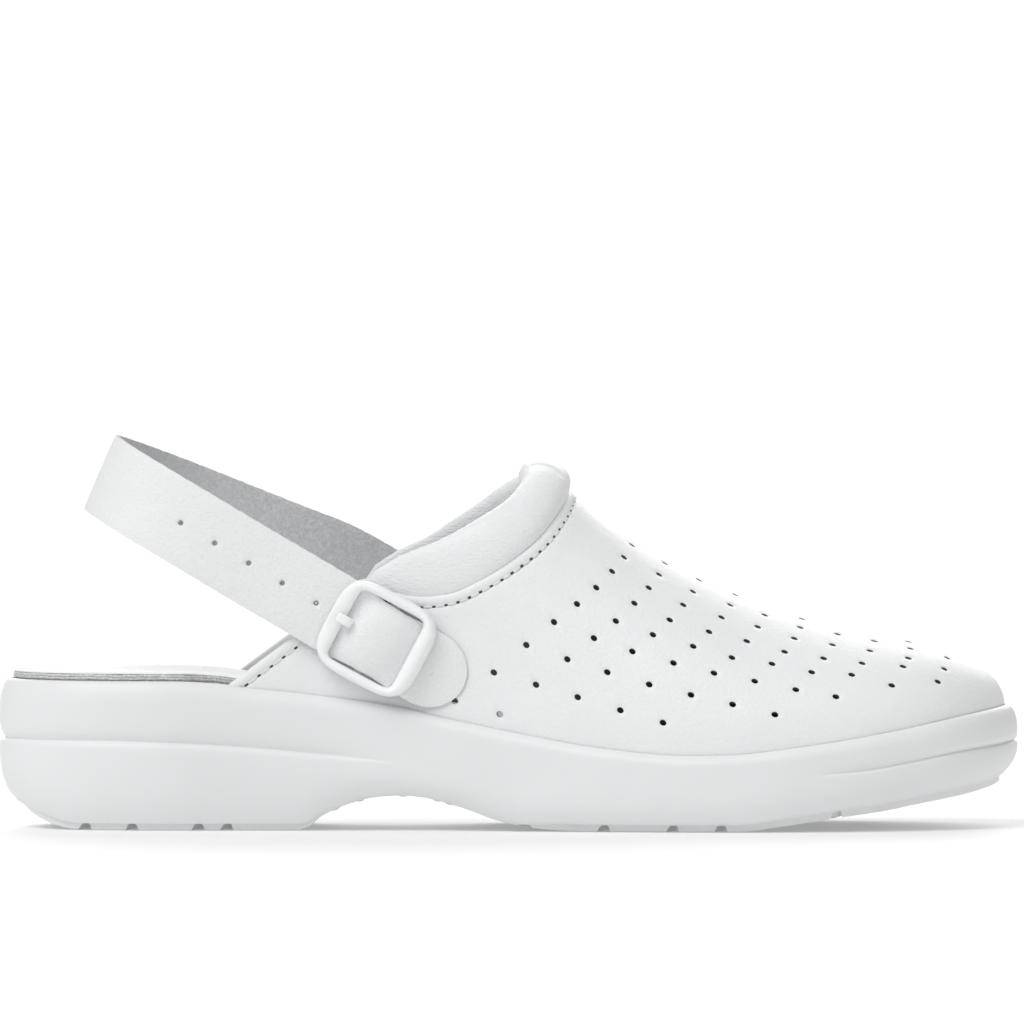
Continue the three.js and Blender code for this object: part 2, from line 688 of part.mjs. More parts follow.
// Stations of the strap's middle line from the tip to the inner end, each with its width direction
function strapStations() {
  const stations = [];
  const onBuckle = (a) => buckle.middle.clone()
    .addScaledVector(buckle.along, a)
    .addScaledVector(buckle.outward, strapLift(a) + strapThick / 2);
  const tipRound = strapWidth / 2;
  const flatFrom = strapTipReach - tipRound;
  const flatTo = -buckleLength / 2;
  const tipSteps = 7;
  const flatSteps = 18;
  for (let k = 0; k < tipSteps; k += 1) {
    const turn = (Math.PI / 2) * ((k + 0.6) / tipSteps);
    const point = onBuckle(flatFrom + tipRound * Math.cos(turn));
    stations.push({ point, up: buckle.up, half: tipRound * Math.sin(turn) });
  }
  for (let k = 0; k < flatSteps; k += 1) {
    const point = onBuckle(THREE.MathUtils.lerp(flatFrom, flatTo, k / flatSteps));
    stations.push({ point, up: buckle.up, half: strapWidth / 2 });
  }

  const start = buckle.middle;
  const forward = new THREE.Vector3(Math.cos(strapSlope), 0, -Math.sin(strapSlope));
  const innerForward = new THREE.Vector3(Math.cos(strapInnerSlope), 0, -Math.sin(strapInnerSlope));
  const heel = start.clone().addScaledVector(forward, -strapReach);
  const innerY = (x, z) => surfaceAtHeight(x, z, 1, 0).y + collarTailProud + fitGap + strapThick / 2;
  const innerPoint = (reach) => {
    const point = heel.clone().addScaledVector(innerForward, reach);
    return point.setY(innerY(point.x, point.z));
  };
  const outerY = onBuckle(-loopRows[0].back * strapReach).y;
  const innerQuarter = innerPoint((1 - loopRows[0].back) * strapReach).y;
  const halfWidth = (quarter, { half, heel: heelShare }) => (
    half * THREE.MathUtils.lerp(Math.abs(quarter), (strapHeelWidth + strapThick) / 2, heelShare)
  );
  const outerLoop = loopRows.map((row) => (
    start.clone().addScaledVector(forward, -row.back * strapReach).setY(-halfWidth(outerY, row))
  ));
  const innerLoop = loopRows.slice(0, -1).reverse().map((row) => (
    heel.clone().addScaledVector(innerForward, (1 - row.back) * strapReach).setY(halfWidth(innerQuarter, row))
  ));
  const innerEnd = [0.9, 1].map((share) => innerPoint(share * strapInnerReach));
  const loop = new THREE.CatmullRomCurve3([onBuckle(flatTo), ...outerLoop, ...innerLoop, ...innerEnd]);
  const tallY = new THREE.Vector3(0, innerY(innerEnd[1].x, innerEnd[1].z + 1) - innerEnd[1].y, 1).normalize();
  const heelUp = new THREE.Vector3(Math.sin(strapSlope), 0, Math.cos(strapSlope));
  const loopSteps = 46;
  for (let k = 0; k <= loopSteps; k += 1) {
    const share = k / loopSteps;
    const up = share < 0.5
      ? buckle.up.clone().lerp(heelUp, THREE.MathUtils.smoothstep(share, 0.05, 0.45))
      : heelUp.clone().lerp(tallY, THREE.MathUtils.smoothstep(share, 0.55, 0.95));
    stations.push({ point: loop.getPointAt(share), up, half: strapWidth / 2 });
  }
  return stations;
}

// Strap: one flat band with a rounded tip, and a slot where the prong comes through
function makeStrap() {
  const stations = strapStations();
  const rings = stations.map(({ point, up, half }, k) => {
    const before = stations[Math.max(k - 1, 0)].point;
    const after = stations[Math.min(k + 1, stations.length - 1)].point;
    const along = after.clone().sub(before).normalize();
    const out = along.clone().cross(up).normalize();
    const wide = out.clone().cross(along).normalize();
    const round = Math.min(strapEdgeRound, half / 2);
    const corner = (w, t) => point.clone().addScaledVector(wide, w).addScaledVector(out, t);
    const deep = strapThick / 2;
    return [
      corner(-half, deep - round),
      corner(-half + round, deep),
      corner(half - round, deep),
      corner(half, deep - round),
      corner(half, -deep + round),
      corner(half - round, -deep),
      corner(-half + round, -deep),
      corner(-half, -deep + round),
    ];
  });
  const hole = new THREE.CylinderGeometry(1, 1, 4 * strapThick, 16);
  hole.rotateX(Math.PI / 2);
  hole.scale(prongThick / 2 + 4 * fitGap, prongThick / 2 + 1.5 * fitGap, 1);
  hole.translate(-prongReach * 0.5, 0, strapUnderBar + strapThick);
  hole.applyMatrix4(buckleMatrix());
  return toGeometry(toSolid(ringBody(rings)).subtract(toSolid(hole)));
}

function buckleMatrix() {
  return new THREE.Matrix4()
    .makeBasis(buckle.along, buckle.up, buckle.outward)
    .setPosition(buckle.middle);
}

// Rounded four-sided outline; a higher power is squarer
function roundedSquare(length, width, power, steps) {
  return Array.from({ length: steps }, (_, k) => {
    const angle = (2 * Math.PI * k) / steps;
    const bend = (value) => Math.sign(value) * Math.abs(value) ** (2 / power);
    return new THREE.Vector2((length / 2) * bend(Math.cos(angle)), (width / 2) * bend(Math.sin(angle)));
  });
}

function boxAt(length, width, low, high, x, y) {
  const box = new THREE.BoxGeometry(length, width, high - low);
  box.translate(x, y, (low + high) / 2);
  return toSolid(box);
}

// Buckle: a barrel-shaped frame, its middle bar under the strap on two posts, and a notch for the prong
function makeBuckle() {
  const bevel = 0.8;
  const shape = new THREE.Shape(roundedSquare(buckleLength, buckleWidth, 3.4, 40));
  shape.holes.push(new THREE.Path(roundedSquare(windowLength, windowWidth, 6, 28).reverse()));
  const frame = new THREE.ExtrudeGeometry(shape, {
    depth: buckleThick - 2 * bevel,
    bevelThickness: bevel,
    bevelSize: bevel,
    bevelOffset: -bevel,
    bevelSegments: 2,
  });
  frame.translate(0, 0, frameFloor + bevel);
  const clearWidth = strapWidth + 2 * fitGap;
  const postWidth = (buckleWidth - clearWidth) / 2 - 2 * bevel;
  const postMiddle = (clearWidth + postWidth) / 2;
  const barLow = fitGap;
  const barHigh = fitGap + barThick;
  const top = frameFloor + buckleThick;
  const notchLength = prongReach + 2 * fitGap;
  let solid = toSolid(frame).subtract(boxAt(windowLength - fitGap, clearWidth, barLow, passage, 0, 0));
  solid = solid.add(boxAt(barWidth, postWidth, barLow, top - 2 * bevel, 0, postMiddle));
  solid = solid.add(boxAt(barWidth, postWidth, barLow, top - 2 * bevel, 0, -postMiddle));
  solid = solid.add(boxAt(barWidth, clearWidth + 2 * bevel, barLow, barHigh, 0, 0));
  const notch = boxAt(notchLength, prongThick + 2 * fitGap, top - notchInBar, top + notchInBar, -notchLength / 2, 0);
  solid = solid.subtract(notch);
  return toGeometry(solid);
}

// Prong: from the middle bar, low under the strap, up through the slot and over into the notch
function makeProng() {
  const radius = prongThick / 2;
  const low = fitGap + radius;
  const high = frameFloor + buckleThick - notchInBar + fitGap + radius;
  const rise = high - low;
  const rows = [
    { back: 0.15, up: 0.04 },
    { back: 0.26, up: 0 },
    { back: 0.38, up: 0.01 },
    { back: 0.465, up: 0.12 },
    { back: 0.525, up: 0.36 },
    { back: 0.57, up: 0.66 },
    { back: 0.615, up: 0.91 },
    { back: 0.74, up: 1.01 },
    { back: 1, up: 1 },
  ];
  const path = new THREE.CatmullRomCurve3(rows.map(({ back, up }) => (
    new THREE.Vector3(-prongReach * back, 0, low + rise * up)
  )));
  const round = new THREE.Shape(roundedSquare(prongThick, prongThick, 2, 8));
  return new THREE.ExtrudeGeometry(round, { steps: 16, extrudePath: path, bevelEnabled: false });
}

function finish(colour, roughness) {
  return new THREE.MeshStandardMaterial({ color: colour, roughness, metalness: 0 });
}

function named(name, geometry, material) {
  const mesh = new THREE.Mesh(geometry, material);
  mesh.name = name;
  return mesh;
}

const whiteLeather = finish(0xeeeeec, 0.5);
const softLeather = finish(0xe9eaeb, 0.55);
const mouldedSole = finish(0xe4e5e4, 0.6);
const insoleLeather = finish(0xd5d5d3, 0.65);
const whitePlastic = finish(0xe2e3e3, 0.35);

const shoe = new THREE.Group();
shoe.add(named('sole', makeSole(), mouldedSole));
shoe.add(named('insole', makeInsole(), insoleLeather));
shoe.add(named('upper', makeUpper(), whiteLeather));
shoe.add(named('collar', makeCollar(), softLeather));
shoe.add(named('heel_strap', makeStrap(), whiteLeather));

const fastening = new THREE.Group();
fastening.add(named('buckle_frame', makeBuckle(), whitePlastic));
fastening.add(named('buckle_prong', makeProng(), whitePlastic));
buckleMatrix().decompose(fastening.position, fastening.quaternion, fastening.scale);
shoe.add(fastening);

const edges = new THREE.Box3().setFromPoints(outline);
shoe.position.set(-(edges.min.x + edges.max.x) / 2, -(edges.min.y + edges.max.y) / 2, 0);

const model = new THREE.Group();
model.add(shoe);

export default model;
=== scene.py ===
"""Dresses the chef clog: fine meshes, finishes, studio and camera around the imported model."""

import logging
import math
from dataclasses import dataclass
from enum import Enum
from typing import Callable, NamedTuple, Sequence

import bmesh
import bpy
import numpy as np
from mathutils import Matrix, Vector
from mathutils.geometry import delaunay_2d_cdt
from mathutils.kdtree import KDTree


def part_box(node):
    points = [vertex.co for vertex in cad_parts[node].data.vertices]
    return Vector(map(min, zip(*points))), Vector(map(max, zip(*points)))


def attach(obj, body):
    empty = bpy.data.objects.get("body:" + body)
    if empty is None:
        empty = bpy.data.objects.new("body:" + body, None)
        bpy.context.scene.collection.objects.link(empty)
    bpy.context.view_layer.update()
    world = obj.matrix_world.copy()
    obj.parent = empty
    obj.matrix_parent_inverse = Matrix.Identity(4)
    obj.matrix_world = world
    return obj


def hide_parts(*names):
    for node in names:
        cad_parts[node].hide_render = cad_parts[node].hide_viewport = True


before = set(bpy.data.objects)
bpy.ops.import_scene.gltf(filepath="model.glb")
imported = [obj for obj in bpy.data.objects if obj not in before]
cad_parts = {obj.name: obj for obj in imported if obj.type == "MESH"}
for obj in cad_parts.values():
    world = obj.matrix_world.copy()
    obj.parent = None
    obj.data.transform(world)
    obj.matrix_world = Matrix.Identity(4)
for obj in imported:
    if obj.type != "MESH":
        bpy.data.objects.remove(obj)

log = logging.getLogger("chef_clog")
BODY = "root"
MM = 0.001
OUTER = -1.0
INNER = 1.0
Points = np.ndarray
Piece = bpy.types.Object
Material = bpy.types.Material
Socket = bpy.types.NodeSocket


# Tables of the shoe's form, as shares of the sizes that the classes name


def table(kind: Callable, *rows: tuple) -> tuple:
    """Returns a table, each row's values under the names of its kind."""
    return tuple(kind(*row) for row in rows)


class PlanRow(NamedTuple):
    """Point of the plan: share of the length, and share of the ball width from the middle line."""

    along: float
    across: float


class ValueRow(NamedTuple):
    """One value at a share of the length."""

    along: float
    value: float


class RidgeRow(NamedTuple):
    """Ridge of the upper: rise over the rim, of the instep rise, and shift, of the ball width."""

    along: float
    rise: float
    shift: float


class FullnessRow(NamedTuple):
    """How steeply each side of the upper stands: 1 is an ellipse, more is leaner."""

    along: float
    outer: float
    inner: float


OUTER_SIDE = table(
    PlanRow, (0, 0), (0.018, -0.165), (0.062, -0.275), (0.14, -0.335), (0.26, -0.335), (0.38, -0.345),
    (0.49, -0.388), (0.6, -0.447), (0.7, -0.48), (0.79, -0.468), (0.87, -0.412), (0.935, -0.305),
    (0.98, -0.13), (1, 0.1),
)
INNER_SIDE = table(
    PlanRow, (0.986, 0.305), (0.95, 0.432), (0.89, 0.505), (0.81, 0.52), (0.72, 0.495), (0.62, 0.418),
    (0.51, 0.335), (0.4, 0.3), (0.28, 0.312), (0.14, 0.335), (0.062, 0.278), (0.018, 0.168),
)
RIM_ROWS = table(
    ValueRow, (0, 1), (0.17, 1), (0.215, 0.985), (0.24, 0.96), (0.295, 0.92), (0.39, 0.835),
    (0.43, 0.768), (0.51, 0.656), (0.59, 0.562), (0.67, 0.515), (0.71, 0.518), (0.79, 0.575),
    (0.88, 0.675), (0.95, 0.77), (1, 0.825),
)
TREAD_ROWS = table(
    ValueRow, (0, 0.56), (0.022, 0.44), (0.032, 0.29), (0.047, 0.14), (0.063, 0.04), (0.079, 0),
    (0.293, 0), (0.304, 0.07), (0.316, 0.25), (0.344, 0.48), (0.368, 0.59), (0.393, 0.625), (0.413, 0.6),
    (0.452, 0.425), (0.492, 0.175), (0.521, 0.07), (0.55, 0.02), (0.575, 0), (0.722, 0), (0.766, 0.1),
    (0.824, 0.255), (0.866, 0.36), (0.904, 0.49), (0.943, 0.61), (0.966, 0.7), (0.985, 0.8), (1, 0.95),
)
RIDGE_ROWS = table(
    RidgeRow, (0.16, 2.2, 0), (0.35, 1.88, 0), (0.42, 1.59, 0.004), (0.48, 1.31, 0.008),
    (0.5266, 1.121, 0.012), (0.562, 0.994, 0.016), (0.61, 0.867, 0.024), (0.648, 0.789, 0.032),
    (0.686, 0.713, 0.042), (0.7276, 0.633, 0.054), (0.7655, 0.563, 0.066), (0.807, 0.493, 0.078),
    (0.845, 0.43, 0.088), (0.883, 0.374, 0.096), (0.93, 0.32, 0.1),
)
FULLNESS_ROWS = table(
    FullnessRow, (0.16, 1, 1), (0.55, 1.08, 1), (0.72, 1.16, 1.02), (0.86, 1.02, 0.94),
    (0.965, 0.77, 0.77), (1, 0.77, 0.77),
)
SEAM_ROWS = table(
    ValueRow, (0.2, -0.11), (0.227, 0), (0.295, 0.245), (0.34, 0.42), (0.36, 0.464), (0.38, 0.458),
    (0.398, 0.454), (0.438, 0.497), (0.479, 0.606), (0.505, 0.697), (0.53, 0.8), (0.546, 0.896),
    (0.557, 0.985), (0.5625, 1.08), (0.5665, 1.3),
)
TOP_LINE_ROWS = table(
    ValueRow, (0.355, 0.48), (0.391, 0.6), (0.438, 0.725), (0.469, 0.824), (0.4966, 0.914),
    (0.507, 0.967), (0.5207, 1.07), (0.53, 1.18),
)


class SmoothColumn:
    """Smooth curve through one column of a table, flat where the table is flat."""

    def __init__(self, places: Sequence[float], values: Sequence[float]) -> None:
        """Works out the tangents once.

        Args:
            places: increasing places of the rows.
            values: the column's values there.
        """
        self.places = np.array(places, float)
        self.values = np.array(values, float)
        slopes = np.diff(self.values) / np.diff(self.places)
        before = np.concatenate([slopes[:1], slopes])
        after = np.concatenate([slopes, slopes[-1:]])
        product = before * after
        total = np.where(product > 0, before + after, 1)
        self.tangents = np.where(product > 0, 2 * product / total, 0)

    def __call__(self, at: Points) -> Points:
        """Returns the curve's value at each place."""
        at = np.asarray(at, float)
        k = np.clip(np.searchsorted(self.places, at, side="right") - 1, 0, len(self.places) - 2)
        span = self.places[k + 1] - self.places[k]
        t = np.clip((at - self.places[k]) / span, 0, 1)
        return (
            (2 * t**3 - 3 * t**2 + 1) * self.values[k]
            + (t**3 - 2 * t**2 + t) * span * self.tangents[k]
            + (3 * t**2 - 2 * t**3) * self.values[k + 1]
            + (t**3 - t**2) * span * self.tangents[k + 1]
        )


def column(rows: Sequence[NamedTuple], name: str) -> SmoothColumn:
    """Returns the smooth curve of one named column over its table's first column."""
    return SmoothColumn([row[0] for row in rows], [getattr(row, name) for row in rows])


def lerp(start: Points, end: Points, share: Points) -> Points:
    """Returns what lies at a share of the way from start to end."""
    return start + (end - start) * share


def smoothstep(value: Points, low: float, high: float) -> Points:
    """Returns 0 below low, 1 above high and a soft step between."""
    t = np.clip((np.asarray(value, float) - low) / (high - low), 0, 1)
    return t * t * (3 - 2 * t)


def unit(vectors: Points) -> Points:
    """Returns the vectors at length 1."""
    length = np.linalg.norm(vectors, axis=-1, keepdims=True)
    return vectors / np.maximum(length, 1e-12)


def curve_through(points: Points, closed: bool, steps: int) -> Points:
    """Runs a centripetal curve through points.

    Args:
        points: the points that it passes, one a row.
        closed: whether it returns to its start.
        steps: pieces between two neighbours.

    Returns:
        The curve's points, with both ends, also of a closed one.
    """
    if closed:
        padded = np.vstack([points[-1:], points, points[:2]])
    else:
        padded = np.vstack([2 * points[0] - points[1], points, 2 * points[-1] - points[-2]])
    spans = len(padded) - 3
    t = np.linspace(0, spans, spans * steps + 1)
    k = np.minimum(np.floor(t).astype(int), spans - 1)
    u = (t - k)[:, None]
    p0, p1, p2, p3 = padded[k], padded[k + 1], padded[k + 2], padded[k + 3]

    def gap(a: Points, b: Points) -> Points:
        """Returns the root of each distance."""
        return np.sqrt(np.linalg.norm(b - a, axis=1, keepdims=True))

    d0, d1, d2 = gap(p0, p1), gap(p1, p2), gap(p2, p3)
    m1 = ((p1 - p0) / d0 - (p2 - p0) / (d0 + d1) + (p2 - p1) / d1) * d1
    m2 = ((p2 - p1) / d1 - (p3 - p1) / (d1 + d2) + (p3 - p2) / d2) * d1
    return (
        p1
        + m1 * u
        + (-3 * p1 + 3 * p2 - 2 * m1 - m2) * u**2
        + (2 * p1 - 2 * p2 + m1 + m2) * u**3
    )


def run_length(points: Points) -> Points:
    """Returns how far along the line each point lies."""
    steps = np.linalg.norm(np.diff(points, axis=0), axis=1)
    return np.concatenate([[0], np.cumsum(steps)])


def sample(line: Points, values: Points, at: Points) -> Points:
    """Reads columns of values at places along a line.

    Args:
        line: the known places, increasing.
        values: one row of values for each.
        at: the places asked for.

    Returns:
        One row of values for each place asked for.
    """
    return np.stack([np.interp(at, line, values[:, c]) for c in range(values.shape[1])], axis=1)


# The last: the shoe's form


@dataclass
class Last:
    """Form of the shoe: plan, heights and the skin of the upper, in the model's own place."""

    length: float = 290 * MM
    ball_width: float = 106 * MM
    heel_height: float = 42.5 * MM
    toe_spring: float = 16 * MM
    instep_rise: float = 70 * MM
    fit_gap: float = 0.3 * MM
    rim_width: float = 3.4 * MM
    toe_fan_start: float = 0.74
    ridge_end: float = 0.878
    ridge_fall: float = 0.17
    curve_steps: int = 300

    def __post_init__(self) -> None:
        """Prepares the tables' curves and both halves of the outline."""
        self.rim_share = column(RIM_ROWS, "value")
        self.tread_share = column(TREAD_ROWS, "value")
        self.ridge_share = column(RIDGE_ROWS, "rise")
        self.ridge_shift = column(RIDGE_ROWS, "shift")
        self.seam_share = column(SEAM_ROWS, "value")
        self.top_share = column(TOP_LINE_ROWS, "value")
        self.fullness = {OUTER: column(FULLNESS_ROWS, "outer"), INNER: column(FULLNESS_ROWS, "inner")}
        rows = np.array(OUTER_SIDE + INNER_SIDE) * [self.length, self.ball_width]
        line = curve_through(rows, True, self.curve_steps)
        travel = unit(np.gradient(line, axis=0))
        facing = np.stack([travel[:, 1], -travel[:, 0]], axis=1)
        tip = (len(OUTER_SIDE) - 1) * self.curve_steps
        halves = {
            OUTER: (line[: tip + 1], facing[: tip + 1]),
            INNER: (line[tip:][::-1], facing[tip:][::-1]),
        }
        self.halves = {}
        for side, (points, normals) in halves.items():
            reach = run_length(points)
            self.halves[side] = (reach / reach[-1], points, normals)
        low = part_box("sole")[0]
        self.shift = np.array([low.x - line[:, 0].min(), low.y - line[:, 1].min(), 0.0])
        self.tip_x = float(self.edge(np.array([1.0]), OUTER, self.rim_width + self.fit_gap)[0, 0])
        self.feather_lines = {side: self._feather_line(side) for side in (OUTER, INNER)}

    def rim(self, x: Points) -> Points:
        """Returns the height of the sole's rim."""
        return self.heel_height * self.rim_share(np.asarray(x) / self.length)

    def tread(self, x: Points) -> Points:
        """Returns the height of the tread over the floor."""
        return self.toe_spring * self.tread_share(np.asarray(x) / self.length)

    def ridge_height(self, x: Points) -> Points:
        """Returns the height of the upper's ridge."""
        return self.rim(x) + self.instep_rise * self.ridge_share(np.asarray(x) / self.length)

    def seam_height(self, x: Points) -> Points:
        """Returns the height of the quarter's rear edge and the collar seam, seen from the side."""
        return self.rim(x) + self.instep_rise * self.seam_share(np.asarray(x) / self.length)

    def top_height(self, x: Points) -> Points:
        """Returns the height of the collar's top line, seen from the side."""
        return self.rim(x) + self.instep_rise * self.top_share(np.asarray(x) / self.length)

    def edge(self, share: Points, side: float, inset: Points) -> Points:
        """Finds points of the plan outline drawn in by an inset.

        Args:
            share: shares of the half outline's length, from the heel to the toe tip.
            side: OUTER or INNER.
            inset: how far they are drawn in.

        Returns:
            Their x and y, one row a point.
        """
        shares, points, normals = self.halves[side]
        inset = np.broadcast_to(inset, np.shape(share))
        return sample(shares, points, share) - sample(shares, normals, share) * inset[:, None]

    def _feather_line(self, side: float) -> tuple[Points, Points]:
        """Returns the x and y of one side's feather line, with x increasing."""
        points = self.edge(np.linspace(0, 1, 2000), side, self.rim_width + self.fit_gap)
        return np.maximum.accumulate(points[:, 0]), points[:, 1]

    def share_at(self, x: Points, side: float) -> Points:
        """Returns the share of the half outline at which it reaches x."""
        shares, points, _ = self.halves[side]
        return np.interp(x, np.maximum.accumulate(points[:, 0]), shares)

    def ridge(self, share: Points) -> Points:
        """Returns the ridge point that belongs to each share of the outline."""
        inset = self.rim_width + self.fit_gap
        middle = (self.edge(share, OUTER, inset)[:, 0] + self.edge(share, INNER, inset)[:, 0]) / 2
        fan, end = self.toe_fan_start * self.length, self.ridge_end * self.length
        gone = np.clip((middle - fan) / (self.tip_x - fan), 0, 1)
        fanned = fan + (end - fan) * (1 - (1 - gone) ** ((self.tip_x - fan) / (end - fan)))
        x = np.where(middle > fan, fanned, middle)
        shift = self.ridge_shift(x / self.length) * self.ball_width
        return np.stack([x, shift, self.ridge_height(x)], axis=1)

    def _folded(self, spots: Points) -> Points:
        """Returns spots with those past the ridge or the toe tip carried to the other side."""
        spots = np.array(spots, float)
        over = spots[:, 1] > 1
        spots[over, 1] = 2 - spots[over, 1]
        spots[over, 2] *= -1
        past = spots[:, 0] > 1
        spots[past, 0] = 2 - spots[past, 0]
        spots[past, 2] *= -1
        return spots

    def _feather(self, spots: Points) -> Points:
        """Returns the feather point below each spot."""
        inset = self.rim_width + self.fit_gap
        outer = self.edge(spots[:, 0], OUTER, inset)
        inner = self.edge(spots[:, 0], INNER, inset)
        flat = np.where(spots[:, 2:3] < 0, outer, inner)
        return np.column_stack([flat, self.rim(flat[:, 0])])

    def plan(self, spots: Points) -> Points:
        """Returns where each spot lies on a flat plan, its ribs laid out at their real length."""
        spots = self._folded(spots)
        high = self.ridge(spots[:, 0])
        fall = self._feather(spots) - high
        stretch = np.linalg.norm(fall, axis=1) / np.linalg.norm(fall[:, :2], axis=1)
        return high[:, :2] + fall[:, :2] * (stretch * (1 - spots[:, 1]))[:, None]

    def skin(self, spots: Points) -> Points:
        """Finds points of the upper's skin.

        Args:
            spots: rows of outline share, turn from the feather line (0) to the ridge (1), and side.

        Returns:
            One point a row. A turn below 0 is on the skirt that goes down into the sole.
        """
        spots = self._folded(spots)
        low, high = self._feather(spots), self.ridge(spots[:, 0])
        along = low[:, 0] / self.length
        fullness = np.where(spots[:, 2] < 0, self.fullness[OUTER](along), self.fullness[INNER](along))
        turn = np.clip(spots[:, 1], 0, 1) * math.pi / 2
        cosine = np.maximum(np.cos(turn), 1e-9)
        inward = (1 - cosine ** (1 + (fullness - 1) * np.sqrt(cosine)))[:, None]
        flat = lerp(low[:, :2], high[:, :2], inward)
        crest = high[:, 2] - self.ridge_fall * np.maximum(flat[:, 0] - high[:, 0], 0)
        below = np.minimum(spots[:, 1], 0) * math.pi / 2
        z = lerp(low[:, 2], crest, np.sin(turn)) + (high[:, 2] - low[:, 2]) * below
        return np.column_stack([flat, z])

    def directions(self, spots: Points) -> tuple[Points, Points, Points]:
        """Returns the skin's change with share and with turn at each spot, and its outward normal."""
        step = 1e-3
        to_share = (self.skin(spots + [step, 0, 0]) - self.skin(spots - [step, 0, 0])) / (2 * step)
        to_turn = (self.skin(spots + [0, step, 0]) - self.skin(spots - [0, step, 0])) / (2 * step)
        normal = unit(np.cross(to_share, to_turn)) * -np.sign(spots[:, 2:3])
        return to_share, to_turn, normal

    def moved(self, spots: Points, offsets: Points) -> Points:
        """Moves spots over the skin.

        Args:
            spots: where they start.
            offsets: vectors in space, as long as the wanted move.

        Returns:
            The spots that lie about that far away on the skin.
        """
        start, target = spots, self.skin(spots) + offsets
        for _ in range(3):
            a, b, _ = self.directions(spots)
            left = target - self.skin(spots)
            aa, ab, bb = (a * a).sum(1), (a * b).sum(1), (b * b).sum(1)
            to_a, to_b = (left * a).sum(1), (left * b).sum(1)
            det = aa * bb - ab * ab
            steps = np.stack([to_a * bb - to_b * ab, to_b * aa - to_a * ab, 0 * det], axis=1) / det[:, None]
            spots = spots + np.clip(steps, -0.08, 0.08)
        return self._folded(np.where(np.isfinite(spots), spots, start))

    def spots_at(self, x: Points, height: Points, side: float, rise: float = 0.0) -> Points:
        """Finds the spots that the eye sees at given places from the side.

        Args:
            x: places along the shoe.
            height: heights as seen.
            side: OUTER or INNER.
            rise: how much higher a point looks for each metre that it lies further away.

        Returns:
            One spot a row.
        """
        x, height = np.asarray(x, float), np.asarray(height, float)
        near = -self.ball_width * 0.45
        low, high = self.rim(x), self.ridge_height(x)
        turn = np.arcsin(np.clip((height - low) / (high - low), -0.05, 0.98)) * 2 / math.pi
        spots = np.column_stack([self.share_at(x, side), turn, np.full(len(x), side)])
        for _ in range(14):
            point = self.skin(spots)
            a, b, _ = self.directions(spots)
            seen_a, seen_b = a[:, 2] + a[:, 1] * rise, b[:, 2] + b[:, 1] * rise
            miss_x = x - point[:, 0]
            miss_z = height - point[:, 2] - (point[:, 1] - near) * rise
            det = a[:, 0] * seen_b - b[:, 0] * seen_a
            det = np.where(np.abs(det) < 1e-9, 1e-9, det)
            move = np.stack([miss_x * seen_b - miss_z * b[:, 0], miss_z * a[:, 0] - miss_x * seen_a], 1)
            spots[:, :2] += np.clip(move / det[:, None], -0.05, 0.05)
            spots[:, 0] = np.clip(spots[:, 0], 0.02, 0.999)
            spots[:, 1] = np.clip(spots[:, 1], -0.1, 0.999)
        return spots

    def flank(self, x: Points, z: Points, side: float) -> Points:
        """Returns the skin's points at places seen level from the side, behind the toe."""
        x, z = np.atleast_1d(np.asarray(x, float)), np.atleast_1d(np.asarray(z, float))
        line_x, line_y = self.feather_lines[side]
        low, high = self.rim(x), self.ridge_height(x)
        turn = np.arcsin(np.clip((z - low) / (high - low), 0, 1))
        inward = 1 - np.cos(turn) ** self.fullness[side](x / self.length)
        y = lerp(np.interp(x, line_x, line_y), self.ridge_shift(x / self.length) * self.ball_width, inward)
        return np.column_stack([x, y, lerp(low, high, np.sin(turn))])


# Meshes


